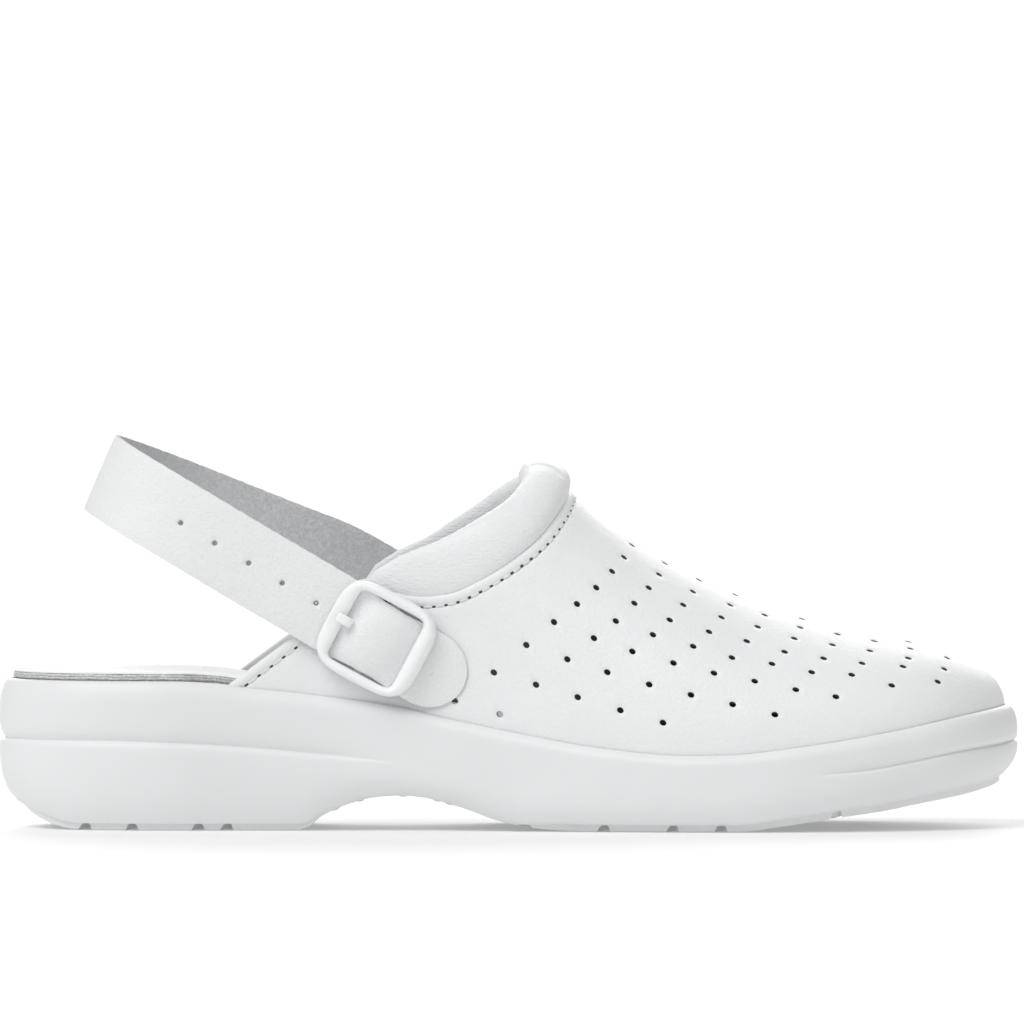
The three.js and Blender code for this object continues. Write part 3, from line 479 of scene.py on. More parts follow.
class MeshBag:
    """Collects points and faces of one piece and makes its object."""

    def __init__(self, shift: Points) -> None:
        """Starts empty; shift carries the model's own place to the row frame."""
        self.shift = shift
        self.blocks: list[Points] = []
        self.faces: list[tuple[int, ...]] = []
        self.marks: list[int] = []
        self.count = 0

    def add_points(self, points: Points) -> int:
        """Adds points and returns the number of the first."""
        first = self.count
        self.blocks.append(np.asarray(points, float).reshape(-1, 3))
        self.count += len(self.blocks[-1])
        return first

    def add_faces(self, faces: Sequence[Sequence[int]], mark: int = 0) -> None:
        """Adds faces with a material number, without corners that repeat."""
        for face in faces:
            kept = [p for k, p in enumerate(face) if p != face[k - 1]]
            if len(kept) > 2:
                self.faces.append(tuple(kept))
                self.marks.append(mark)

    def add_grid(self, grid: Points, closed: bool, mark: int = 0) -> int:
        """Adds rows of points joined by quads.

        Args:
            grid: rows of points.
            closed: whether each row returns to its start.
            mark: material number.

        Returns:
            The number of the first point.
        """
        rows, columns = grid.shape[:2]
        first = self.add_points(grid)
        self.join_rows(np.arange(rows * columns).reshape(rows, columns) + first, closed, mark)
        return first

    def add_cap(self, first: int, count: int) -> None:
        """Closes a ring of points with one face."""
        self.add_faces([list(range(first, first + count))])

    def join_rows(self, numbers: Points, closed: bool, mark: int = 0) -> None:
        """Joins rows of point numbers by quads."""
        if closed:
            numbers = np.hstack([numbers, numbers[:, :1]])
        quads = np.stack([numbers[:-1, :-1], numbers[:-1, 1:], numbers[1:, 1:], numbers[1:, :-1]], axis=-1)
        self.add_faces(quads.reshape(-1, 4).tolist(), mark)

    def fill_ring(
        self, first: int, ring: Points, across: int, lift: Callable | None, mark: int = 0
    ) -> None:
        """Fills a ring with strips from side to side.

        Args:
            first: number of the ring's first point.
            ring: its points, an even number, that start and turn at the two ends.
            across: cells in a strip.
            lift: changes the points between the sides, given them and their shares across; or None.
            mark: material number.
        """
        half = len(ring) // 2
        starts, ends = ring[1:half], ring[: half : -1]
        shares = np.linspace(0, 1, across + 1)[1:-1]
        inner = lerp(starts[:, None, :], ends[:, None, :], shares[None, :, None])
        if lift is not None:
            inner = lift(inner, shares)
        numbers = np.zeros((half + 1, across + 1), int)
        numbers[0, :] = first
        numbers[half, :] = first + half
        numbers[1:half, 0] = first + np.arange(1, half)
        numbers[1:half, -1] = first + len(ring) - np.arange(1, half)
        if across > 1:
            start = self.add_points(inner)
            numbers[1:half, 1:-1] = start + np.arange(inner[..., 0].size).reshape(half - 1, across - 1)
        self.join_rows(numbers, False, mark)

    def build(self, name: str, materials: Sequence[Material], sharp: float) -> Piece:
        """Makes the object, its faces turned outward and shaded smooth up to an angle.

        Args:
            name: name of the piece.
            materials: its finishes, by material number.
            sharp: angle in degrees from which an edge shows as sharp.

        Returns:
            The object, at the origin.
        """
        points = np.vstack(self.blocks) + self.shift
        mesh = bpy.data.meshes.new(name)
        mesh.from_pydata(points.tolist(), [], self.faces)
        mesh.polygons.foreach_set("material_index", np.array(self.marks, np.int32))
        for material in materials:
            mesh.materials.append(material)
        work = bmesh.new()
        work.from_mesh(mesh)
        bmesh.ops.remove_doubles(work, verts=work.verts, dist=1e-6)
        bmesh.ops.recalc_face_normals(work, faces=work.faces)
        work.to_mesh(mesh)
        work.free()
        mesh.polygons.foreach_set("use_smooth", np.ones(len(mesh.polygons), bool))
        mesh.set_sharp_from_angle(angle=math.radians(sharp))
        mesh.update()
        piece = bpy.data.objects.new(name, mesh)
        bpy.context.scene.collection.objects.link(piece)
        return piece


def finished(piece: Piece, nodes: Sequence[str] = ()) -> Piece:
    """Hands a piece to the frame.

    Args:
        piece: the new piece.
        nodes: nodes that it stands for.

    Returns:
        The piece.
    """
    if nodes:
        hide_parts(*nodes)
    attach(piece, BODY)
    log.info("%s: %d faces", piece.name, len(piece.data.polygons))
    return piece


def full_turn(count: int) -> Points:
    """Returns evenly spaced angles of one full turn."""
    return np.linspace(0, 2 * math.pi, count, endpoint=False)


def closed_row(ring: Points) -> Points:
    """Returns a ring's row of point numbers, back to its start."""
    return np.append(ring, ring[0])


def ring_numbers(first: int, holes: int, corners: int) -> list[Points]:
    """Returns the point numbers of rings that follow each other, one ring a hole."""
    return [np.arange(corners) + first + corners * k for k in range(holes)]


def on_plane(flat: Points) -> Points:
    """Returns flat points as points in space at height 0."""
    return np.column_stack([flat, np.zeros(len(flat))])


def flat_triangles(
    flat: Points, chains: Sequence[Points], loops: Sequence[Points], outer: Points
) -> Points:
    """Joins points of a plane by triangles, inside one loop and outside the holes.

    Args:
        flat: the points.
        chains: rows of point numbers that have to be edges.
        loops: the holes' rows of point numbers.
        outer: numbers of the outer loop.

    Returns:
        Triangles as rows of three point numbers.
    """
    closed = [closed_row(loop) for loop in [*loops, outer]]
    edges = [(int(a), int(b)) for row in [*chains, *closed] for a, b in zip(row[:-1], row[1:])]
    faces, origins = delaunay_2d_cdt([Vector(point) for point in flat.tolist()], edges, [], 0, 1e-9)[2:4]
    names = np.array([origin[0] if origin else -1 for origin in origins])
    triangles = names[np.array(faces)]
    triangles = triangles[(triangles >= 0).all(axis=1)]
    hole_of = np.full(len(flat), -1)
    for k, loop in enumerate(loops):
        hole_of[loop] = k
    in_hole = hole_of[triangles]
    solid = ~((in_hole[:, 0] >= 0) & (in_hole[:, 0] == in_hole[:, 1]) & (in_hole[:, 1] == in_hole[:, 2]))
    middles = flat[triangles].mean(axis=1)
    return triangles[solid & inside(middles, flat[outer])]


def inside(points: Points, polygon: Points) -> Points:
    """Returns which points lie inside a polygon."""
    found = np.zeros(len(points), bool)
    for a, b in zip(polygon, np.roll(polygon, -1, axis=0)):
        if a[1] == b[1]:
            continue
        crossing = (a[1] > points[:, 1]) != (b[1] > points[:, 1])
        at = a[0] + (points[:, 1] - a[1]) * (b[0] - a[0]) / (b[1] - a[1])
        found ^= crossing & (points[:, 0] < at)
    return found


def corner_normals(points: Points, triangles: Points) -> Points:
    """Returns each point's normal, weighed by the area of its triangles."""
    a, b, c = (points[triangles[:, k]] for k in range(3))
    facing = np.cross(b - a, c - a)
    total = np.zeros_like(points)
    for k in range(3):
        np.add.at(total, triangles[:, k], facing)
    return unit(total)


def nearest(points: Points, targets: Points) -> tuple[Points, Points]:
    """Returns for each point the distance to the nearest target, and that target's number."""
    tree = KDTree(len(targets))
    for k, target in enumerate(targets.tolist()):
        tree.insert(target, k)
    tree.balance()
    found = [tree.find(point) for point in points.tolist()]
    return np.array([item[2] for item in found]), np.array([item[1] for item in found])


def thick_sheet(bag: MeshBag, top: Points, back: Points, triangles: Points, rims: Sequence[tuple]) -> None:
    """Adds a sheet with two faces and rounded rims; its back has material number 1.

    Args:
        bag: where it goes.
        top: points of the face that shows.
        back: the same points on the other face.
        triangles: triangles of the top.
        rims: rows of a closed loop of point numbers, how far the rim bulges, its steps and material number.
    """
    first = bag.add_points(top)
    second = bag.add_points(back)
    bag.add_faces((triangles + first).tolist(), 0)
    bag.add_faces((triangles[:, ::-1] + second).tolist(), 1)
    for loop, bulge, steps, mark in rims:
        upper, lower = top[loop], back[loop]
        middle, half = (upper + lower) / 2, (upper - lower) / 2
        travel = unit(np.roll(middle, -1, axis=0) - np.roll(middle, 1, axis=0))
        outward = unit(np.cross(travel, half))
        rows = [loop + first]
        for k in range(1, steps):
            angle = math.pi * k / steps
            ring = middle + half * math.cos(angle) + outward * bulge * math.sin(angle)
            rows.append(bag.add_points(ring) + np.arange(len(loop)))
        rows.append(loop + second)
        bag.join_rows(np.array(rows), True, mark)


# Finishes


class ShaderDesk:
    """Lays out the nodes of one material."""

    def __init__(self, name: str) -> None:
        """Starts a material with an output and a principled shader."""
        self.material = bpy.data.materials.new(name)
        self.material.use_nodes = True
        self.tree = self.material.node_tree
        self.tree.nodes.clear()
        self.shader = self.tree.nodes.new("ShaderNodeBsdfPrincipled")
        output = self.tree.nodes.new("ShaderNodeOutputMaterial")
        self.tree.links.new(self.shader.outputs["BSDF"], output.inputs["Surface"])
        self.place = self.add("ShaderNodeTexCoord").outputs["Object"]

    def add(self, kind: str, options: dict | None = None, **inputs) -> bpy.types.Node:
        """Adds a node.

        Args:
            kind: its type.
            options: its settings.
            inputs: its sockets' values, or sockets to link, with _ for a blank in a name.

        Returns:
            The node.
        """
        node = self.tree.nodes.new(kind)
        for key, value in (options or {}).items():
            setattr(node, key, value)
        for key, value in inputs.items():
            self.put(node.inputs[key.replace("_", " ")], value)
        return node

    def put(self, socket: Socket, value) -> None:
        """Sets a socket's value, or links it to another socket."""
        if isinstance(value, Socket):
            self.tree.links.new(value, socket)
        else:
            socket.default_value = value

    def noise(self, size: float, detail: float = 2.0, warp: float = 0.0, rough: float = 0.5) -> Socket:
        """Returns a cloud pattern whose blots are about size across."""
        look = {"Scale": 1 / size, "Detail": detail, "Distortion": warp, "Roughness": rough}
        return self.add("ShaderNodeTexNoise", Vector=self.place, **look).outputs["Fac"]

    def cells(self, size: float, smooth: float = 0.35) -> Socket:
        """Returns a soft cell pattern whose cells are about size across."""
        drift = self.add("ShaderNodeTexNoise", Vector=self.place, Scale=0.6 / size, Detail=1.0)
        bend = self.add("ShaderNodeVectorMath", {"operation": "SCALE"}, Vector=drift.outputs["Color"])
        bend.inputs["Scale"].default_value = size
        moved = self.add("ShaderNodeVectorMath", {"operation": "ADD"})
        self.put(moved.inputs[0], self.place)
        self.put(moved.inputs[1], bend.outputs["Vector"])
        return self.add(
            "ShaderNodeTexVoronoi",
            {"feature": "SMOOTH_F1"},
            Vector=moved.outputs["Vector"],
            Scale=1 / size,
            Smoothness=smooth,
        ).outputs["Distance"]

    def spread(self, value: Socket, low: float, high: float, to_low: float, to_high: float) -> Socket:
        """Returns a value carried from one range to another."""
        node = self.add("ShaderNodeMapRange", {"clamp": True}, Value=value)
        names = ("From Min", "From Max", "To Min", "To Max")
        for name, number in zip(names, (low, high, to_low, to_high)):
            node.inputs[name].default_value = number
        return node.outputs["Result"]

    def tones(self, value: Socket, dark: tuple, light: tuple, low: float, high: float) -> Socket:
        """Returns a colour between dark and light as value runs from low to high."""
        share = self.spread(value, low, high, 0.0, 1.0)
        node = self.add("ShaderNodeMix", {"data_type": "RGBA"})
        self.put(node.inputs[0], share)
        self.put(node.inputs[6], (*dark, 1))
        self.put(node.inputs[7], (*light, 1))
        return node.outputs[2]

    def bump(self, layers: Sequence[tuple[Socket, float]]) -> None:
        """Raises the surface by each layer's pattern, times its depth in metres."""
        normal = None
        for pattern, depth in layers:
            node = self.add("ShaderNodeBump", Height=pattern, Strength=1.0, Distance=depth)
            if normal is not None:
                self.put(node.inputs["Normal"], normal)
            normal = node.outputs["Normal"]
        self.put(self.shader.inputs["Normal"], normal)

    def shade(self, **inputs) -> Material:
        """Sets the shader's sockets and returns the material."""
        for key, value in inputs.items():
            self.put(self.shader.inputs[key.replace("_", " ")], value)
        return self.material


def grey(level: float, blue: float = 0.0) -> tuple[float, float, float]:
    """Returns a grey as red, green and blue, a little bluer where asked."""
    return (level * (1 - blue), level, level * (1 + blue))


@dataclass(frozen=True)
class LeatherFinish:
    """White coated leather with a fine grain."""

    name: str
    tone: float = 0.80
    blue: float = 0.007
    mottle: float = 0.012
    roughness: float = 0.46
    grain: float = 0.95 * MM
    grain_depth: float = 0.13 * MM
    pucker: float = 3.4 * MM
    pucker_depth: float = 0.16 * MM
    coat: float = 0.12
    stretch: tuple[float, float, float] = (1, 1, 1)

    def material(self) -> Material:
        """Returns the leather's material."""
        desk = ShaderDesk(self.name)
        desk.place = desk.add("ShaderNodeMapping", Vector=desk.place, Scale=self.stretch).outputs["Vector"]
        grain = desk.cells(self.grain)
        pores = desk.noise(self.grain * 0.45, 3.0)
        soft = desk.noise(self.pucker, 2.0, 0.4)
        blots = desk.noise(22 * MM, 2.0)
        dark, light = (grey(self.tone + step, self.blue) for step in (-self.mottle, self.mottle))
        colour = desk.tones(blots, dark, light, 0.3, 0.7)
        rough = desk.spread(pores, 0.3, 0.7, self.roughness - 0.05, self.roughness + 0.06)
        desk.bump([(soft, self.pucker_depth), (grain, self.grain_depth), (pores, self.grain_depth * 0.35)])
        coat = {"Coat_Weight": self.coat, "Coat_Roughness": 0.35}
        return desk.shade(Base_Color=colour, Roughness=rough, Specular_IOR_Level=0.42, **coat)


@dataclass(frozen=True)
class SuedeFinish:
    """Raw flesh side of the leather: grey, matt and fuzzy."""

    name: str
    dark: float = 0.56
    light: float = 0.72
    nap: float = 1.0 * MM
    nap_depth: float = 0.4 * MM

    def material(self) -> Material:
        """Returns the suede's material."""
        desk = ShaderDesk(self.name)
        nap = desk.noise(self.nap, 5.0, 0.8, 0.65)
        fuzz = desk.noise(self.nap * 0.3, 3.0, 0.0, 0.7)
        colour = desk.tones(nap, grey(self.dark, 0.012), grey(self.light, 0.012), 0.36, 0.64)
        desk.bump([(nap, self.nap_depth), (fuzz, self.nap_depth * 0.4)])
        sheen = {"Sheen_Weight": 0.25, "Sheen_Roughness": 0.5}
        return desk.shade(Base_Color=colour, Roughness=0.92, Specular_IOR_Level=0.2, **sheen)


@dataclass(frozen=True)
class MouldedFinish:
    """Moulded white plastic or foam: smooth, satin, with a faint mould texture."""

    name: str
    tone: float
    roughness: float
    blue: float = 0.007
    texture: float = 0.5 * MM
    texture_depth: float = 0.006 * MM
    wave_depth: float = 0.05 * MM
    coat: float = 0.0

    def material(self) -> Material:
        """Returns the moulded material."""
        desk = ShaderDesk(self.name)
        skin = desk.noise(self.texture, 2.0)
        waves = desk.noise(26 * MM, 1.0)
        colour = desk.tones(
            waves, grey(self.tone - 0.008, self.blue), grey(self.tone + 0.008, self.blue), 0.35, 0.65
        )
        rough = desk.spread(skin, 0.35, 0.65, self.roughness - 0.03, self.roughness + 0.04)
        desk.bump([(waves, self.wave_depth), (skin, self.texture_depth)])
        return desk.shade(Base_Color=colour, Roughness=rough, Coat_Weight=self.coat, Coat_Roughness=0.25)


@dataclass(frozen=True)
class LiningFinish:
    """Soft lining: white at the open edges, with painted shade that makes it dark deep in the shoe."""

    name: str
    pale: float = 0.74
    # The dark tone is painted shade, deep in the shoe.
    deep: float = 0.10
    pale_until: float = -60 * MM
    painted_shade_from: float = -20 * MM

    def material(self) -> Material:
        """Returns the lining's material."""
        desk = ShaderDesk(self.name)
        split = desk.add("ShaderNodeSeparateXYZ", Vector=desk.place)
        pale, deep = grey(self.pale, 0.004), grey(self.deep, 0.004)
        # Painted shade: the colour runs from pale to dark further into the shoe, where shade falls.
        colour = desk.tones(split.outputs["X"], pale, deep, self.pale_until, self.painted_shade_from)
        weave = desk.noise(0.6 * MM, 3.0)
        desk.bump([(weave, 0.08 * MM)])
        return desk.shade(Base_Color=colour, Roughness=0.85, Specular_IOR_Level=0.25)


@dataclass(frozen=True)
class BoardFinish:
    """Edge of the footbed: pressed layers, mottled grey."""

    name: str
    dark: float = 0.48
    light: float = 0.84
    fleck: float = 0.7 * MM

    def material(self) -> Material:
        """Returns the board's material."""
        desk = ShaderDesk(self.name)
        flecks = desk.noise(self.fleck, 4.0, 1.2, 0.6)
        colour = desk.tones(flecks, grey(self.dark), grey(self.light), 0.34, 0.62)
        desk.bump([(flecks, 0.25 * MM)])
        return desk.shade(Base_Color=colour, Roughness=0.85, Specular_IOR_Level=0.25)


@dataclass(frozen=True)
class PlainFinish:
    """Small matt parts: thread, or the painted shade that stands for a needle hole."""

    name: str
    tone: float
    roughness: float = 0.6
    fibre: float = 0.12 * MM
    fibre_depth: float = 0.02 * MM

    def material(self) -> Material:
        """Returns the plain material."""
        desk = ShaderDesk(self.name)
        fibre = desk.noise(self.fibre, 2.0)
        colour = desk.tones(fibre, grey(self.tone * 0.93), grey(self.tone), 0.3, 0.7)
        desk.bump([(fibre, self.fibre_depth)])
        return desk.shade(Base_Color=colour, Roughness=self.roughness)


class Finish(Enum):
    """The clog's finishes, one for each kind of surface."""

    UPPER = LeatherFinish("vamp_white_leather", tone=0.88, grain_depth=0.1 * MM, pucker_depth=0.12 * MM)
    COLLAR = LeatherFinish(
        "collar_soft_leather",
        tone=0.87,
        blue=0.008,
        grain=0.8 * MM,
        grain_depth=0.14 * MM,
        pucker=1.9 * MM,
        pucker_depth=0.24 * MM,
        stretch=(0.6, 1, 1.5),
    )
    STRAP = LeatherFinish(
        "sling_leather",
        tone=0.87,
        roughness=0.5,
        grain=0.8 * MM,
        grain_depth=0.17 * MM,
        pucker_depth=0.16 * MM,
    )
    FOOTBED = LeatherFinish("footbed_leather", tone=0.94, roughness=0.62, coat=0.0)
    LINING = LiningFinish("upper_lining_painted_shade")
    SUEDE = SuedeFinish("strap_suede")
    CUT_EDGE = SuedeFinish("cut_edge", dark=0.6, light=0.76, nap=0.5 * MM)
    BOARD = BoardFinish("footbed_board")
    SOLE = MouldedFinish("moulded_foam", tone=0.84, roughness=0.45)
    BUCKLE = MouldedFinish(
        "moulded_buckle", tone=0.95, roughness=0.4, blue=0.006, wave_depth=0.01 * MM, coat=0.2
    )
    THREAD = PlainFinish("thread", 0.82)
    # Painted shade: the near-black tone of the lenses that stand for needle holes.
    NEEDLE_HOLE = PlainFinish("needle_hole", 0.07, 0.9)

    @property
    def material(self) -> Material:
        """The finish's material, made once."""
        return bpy.data.materials.get(self.value.name) or self.value.material()


# Sole


class WallRow(NamedTuple):
    """Level of the side wall: share of its lower or upper stretch, shares of the flare and the groove."""

    up: float
    flare: float
    groove: float


GROOVE_HEIGHTS = table(
    ValueRow, (0, 25.5 * MM), (0.1, 25.5 * MM), (0.177, 24.9 * MM), (0.255, 23.5 * MM),
    (0.305, 22.1 * MM), (0.393, 19.4 * MM), (0.5, 15.4 * MM), (0.66, 13.2 * MM), (0.823, 16.8 * MM),
    (0.853, 17.7 * MM), (0.891, 19.6 * MM), (0.941, 22.3 * MM), (1, 24.4 * MM),
)
GROOVE_DEPTHS = table(
    ValueRow, (0, 1), (0.3, 0.9), (0.345, 0.5), (0.4, 0), (0.79, 0), (0.84, 0.5), (0.9, 0.65), (1, 0.7),
)
LOWER_WALL = table(
    WallRow, (0, 0.78, 0), (0.06, 0.58, 0), (0.14, 0.4, 0), (0.24, 0.25, 0), (0.36, 0.13, 0),
    (0.5, 0.05, 0), (0.64, 0.01, 0), (0.78, 0, 0), (0.88, 0, 0.02), (0.935, 0, 0.12), (0.965, 0, 0.38),
    (0.985, 0, 0.75), (1, 0, 1),
)
UPPER_WALL = table(
    WallRow, (0.02, 0, 1.05), (0.06, 0, 0.86), (0.12, 0, 0.6), (0.2, 0, 0.36), (0.32, 0, 0.15),
    (0.46, 0, 0.04), (0.62, 0, 0), (0.8, 0, 0), (1, 0, 0),
)
RIM_ROUND_ROWS = table(
    ValueRow, (0, 7.5 * MM), (0.2, 6 * MM), (0.4, 3.6 * MM), (0.7, 3 * MM), (0.9, 4.4 * MM), (1, 7 * MM),
)
NOTCH_PLACES = (0.0865, 0.132, 0.197, 0.2255, 0.5175, 0.595, 0.6625, 0.709, 0.8225)
ARCH_RIB_PLACES = (0.331, 0.355, 0.396, 0.429, 0.441)


@dataclass
class Sole:
    """The moulded sole: tread layer, flared wall with its groove, round rim and tray."""

    last: Last
    wall_flare: float = 5.2 * MM
    tray_depth: float = 4 * MM
    tread_thick: float = 2 * MM
    tread_inset: float = 1.1 * MM
    tread_round: float = 0.5 * MM
    groove_depth: float = 1.55 * MM
    rim_round_in: float = 3.1 * MM
    rim_lean: float = 0.85
    rim_steps: int = 9
    notch_depth: float = 2.1 * MM
    notch_before: float = 2.1 * MM
    notch_after: float = 1.15 * MM
    notch_slant: float = 0.22
    arch_blend: float = 0.8
    end_layer: float = 0.35
    heel_end: float = 0.018
    rib_height: float = 0.6 * MM
    rib_half: float = 1.3 * MM
    tread_wave: float = 0.55 * MM
    tread_pitch: float = 4.2 * MM
    station_step: float = 0.62 * MM
    across: int = 44

    def stations(self) -> Points:
        """Returns the x of the stations, closer together at the round ends."""
        length, cap, cap_steps = self.last.length, 16 * MM, 26
        turn = np.linspace(0, math.pi / 2, cap_steps + 1)
        heel = cap * (1 - np.cos(turn))
        middle = np.arange(cap + self.station_step, length - cap, self.station_step)
        return np.concatenate([heel, middle, (length - heel)[::-1]])

    def ring(self, x: Points, inset: Callable, height: Callable) -> Points:
        """Returns one closed ring: the outer side from the heel to the tip, then the inner side back."""
        sides = []
        for side in (OUTER, INNER):
            share = self.last.share_at(x, side)
            share[0], share[-1] = 0, 1
            flat = self.last.edge(share, side, inset(x))
            sides.append(np.column_stack([flat, height(flat[:, 0])]))
        return np.vstack([sides[0], sides[1][1:-1][::-1]])

    def layer(self, x: Points) -> Points:
        """Returns how far the tread layer stands apart from the wall: little in the arch."""
        along = np.asarray(x) / self.last.length
        arch = self.arch_blend * smoothstep(along, 0.29, 0.33) * (1 - smoothstep(along, 0.5, 0.56))
        return (1 - arch) * lerp(self.end_layer, 1, smoothstep(along, self.heel_end, 3 * self.heel_end))

    def cuts(self, points: Points, edge_y: Points) -> Points:
        """Finds how far the tread is cut away or built up.

        Args:
            points: points of the tread.
            edge_y: how far the tread's edge is from the middle line there.

        Returns:
            The rise of each point over the plain tread.
        """
        x, y = points[..., 0], points[..., 1]
        lean = (np.abs(edge_y) - np.abs(y)) * self.notch_slant
        rise = np.zeros(x.shape)
        for place in NOTCH_PLACES:
            away = x - place * self.last.length - lean
            off = np.where(away < 0, -away / self.notch_before, away / self.notch_after)
            rise = np.maximum(rise, self.notch_depth * np.sqrt(np.clip(1 - off**2.6, 0, 1)))
        for place in ARCH_RIB_PLACES:
            off = np.abs(x - place * self.last.length) / self.rib_half
            near = smoothstep(np.abs(edge_y) - np.abs(y), 2 * MM, 5 * MM)
            rise = rise - self.rib_height * near * np.sqrt(np.clip(1 - off**2, 0, 1))
        return rise

    def tread_pattern(self, inner: Points, shares: Points) -> Points:
        """Gives the tread between its edges the notches and a fine zigzag relief."""
        edge_y = np.maximum(np.abs(inner[:, :1, 1]), np.abs(inner[:, -1:, 1]))
        x, y = inner[..., 0], inner[..., 1]
        along = x / self.last.length
        zigzag = 2 * np.abs(((y / (9 * MM)) % 1) - 0.5) * 3 * MM
        wave = 0.5 - 0.5 * np.cos(2 * math.pi * (x + zigzag) / self.tread_pitch)
        wave = smoothstep(wave, 0.55, 0.8)
        flat = smoothstep(along, 0.07, 0.09) * (1 - smoothstep(along, 0.29, 0.31))
        flat = flat + smoothstep(along, 0.5, 0.53) * (1 - smoothstep(along, 0.93, 0.96))
        edge = smoothstep(np.abs(edge_y) - np.abs(y), 3 * MM, 5 * MM)
        rise = np.maximum(self.cuts(inner, edge_y), self.tread_wave * wave * flat * edge)
        rise = np.where(self.cuts(inner, edge_y) < 0, self.cuts(inner, edge_y), rise)
        inner[..., 2] = self.last.tread(x) + rise
        return inner

    def build(self) -> Piece:
        """Makes the sole."""
        last, x = self.last, self.stations()
        groove = column(GROOVE_HEIGHTS, "value")
        strength = column(GROOVE_DEPTHS, "value")
        rim_drop = column(RIM_ROUND_ROWS, "value")

        def low_inset(at: Points) -> Points:
            """Returns how far the tread layer is drawn in."""
            return self.wall_flare * LOWER_WALL[0].flare + self.tread_inset * self.layer(at)

        def share(at: Points) -> Points:
            """Returns places as shares of the length."""
            return np.asarray(at) / last.length

        def tread_edge(at: Points) -> Points:
            """Returns the height of the tread's lower edge, with its notches."""
            bare = np.column_stack([at, np.zeros(len(at)), np.zeros(len(at))])
            return last.tread(at) + np.maximum(self.cuts(bare, np.zeros(len(at))), 0)

        def tread_top(at: Points) -> Points:
            """Returns the height at which the wall stands on the tread layer."""
            return last.tread(at) + self.tread_thick * self.layer(at)

        def shoulder(at: Points) -> Points:
            """Returns the height at which the rim begins to round."""
            return last.rim(at) - rim_drop(share(at))

        def crease(at: Points) -> Points:
            """Returns the height of the groove round the wall."""
            return groove(share(at))

        def wall_ring(row: WallRow, low: Callable, high: Callable) -> Points:
            """Returns the ring at one level of the wall, between two heights."""
            flare, depth = self.wall_flare * row.flare, self.groove_depth * row.groove
            return self.ring(
                x, lambda at: flare + depth * strength(share(at)), lambda at: lerp(low(at), high(at), row.up)
            )

        rings = [
            self.ring(x, lambda at: low_inset(at) + self.tread_round, tread_edge),
            self.ring(x, low_inset, lambda at: tread_edge(at) + self.tread_round * 0.8),
            self.ring(x, low_inset, lambda at: np.maximum(tread_top(at) - 0.05 * MM, tread_edge(at))),
        ]
        rings[0][:, 2] = np.minimum(rings[0][:, 2], tread_top(rings[0][:, 0]) - 0.1 * MM)
        rings[1][:, 2] = np.minimum(rings[1][:, 2], tread_top(rings[1][:, 0]) - 0.08 * MM)
        rings += [wall_ring(row, tread_top, crease) for row in LOWER_WALL]
        rings += [wall_ring(row, crease, shoulder) for row in UPPER_WALL]
        for k in range(1, self.rim_steps + 1):
            turn = math.pi / 2 * k / self.rim_steps
            drawn_in = self.rim_round_in * (1 - math.cos(turn)) ** self.rim_lean
            up = math.sin(turn)
            rings.append(self.ring(x, lambda at: drawn_in, lambda at: lerp(shoulder(at), last.rim(at), up)))
        rings.append(self.ring(x, lambda at: last.rim_width, last.rim))
        rings.append(self.ring(x, lambda at: last.rim_width, lambda at: last.rim(at) - self.tray_depth))
        bag = MeshBag(last.shift)
        first = bag.add_grid(np.array(rings), True)
        around = len(rings[0])
        bag.fill_ring(first, rings[0], self.across, self.tread_pattern)
        bag.fill_ring(first + around * (len(rings) - 1), rings[-1], 2, None)
        piece = bag.build("moulded_sole", [Finish.SOLE.material], 38)
        return finished(piece, ["sole"])


# Footbed


class EdgeRow(NamedTuple):
    """Level of the footbed's edge: height over the rim, and how far it is drawn in."""

    up: float
    inset: float


BOARD_EDGE = table(
    EdgeRow, (-3.6 * MM, 0), (-0.3 * MM, 0.5 * MM), (0.05 * MM, 0.75 * MM), (0.3 * MM, 0.3 * MM),
    (0.6 * MM, 0.15 * MM), (1.0 * MM, 0.2 * MM), (1.12 * MM, 0.55 * MM), (1.25 * MM, 0.25 * MM),
    (1.75 * MM, 0.3 * MM), (1.86 * MM, 0.75 * MM), (1.95 * MM, 2.2 * MM),
)
COVER_EDGE = table(
    EdgeRow, (1.9 * MM, 2.4 * MM), (1.9 * MM, 0.7 * MM), (2.05 * MM, 0.42 * MM), (2.3 * MM, 0.45 * MM),
    (2.5 * MM, 0.75 * MM), (2.58 * MM, 1.2 * MM),
)


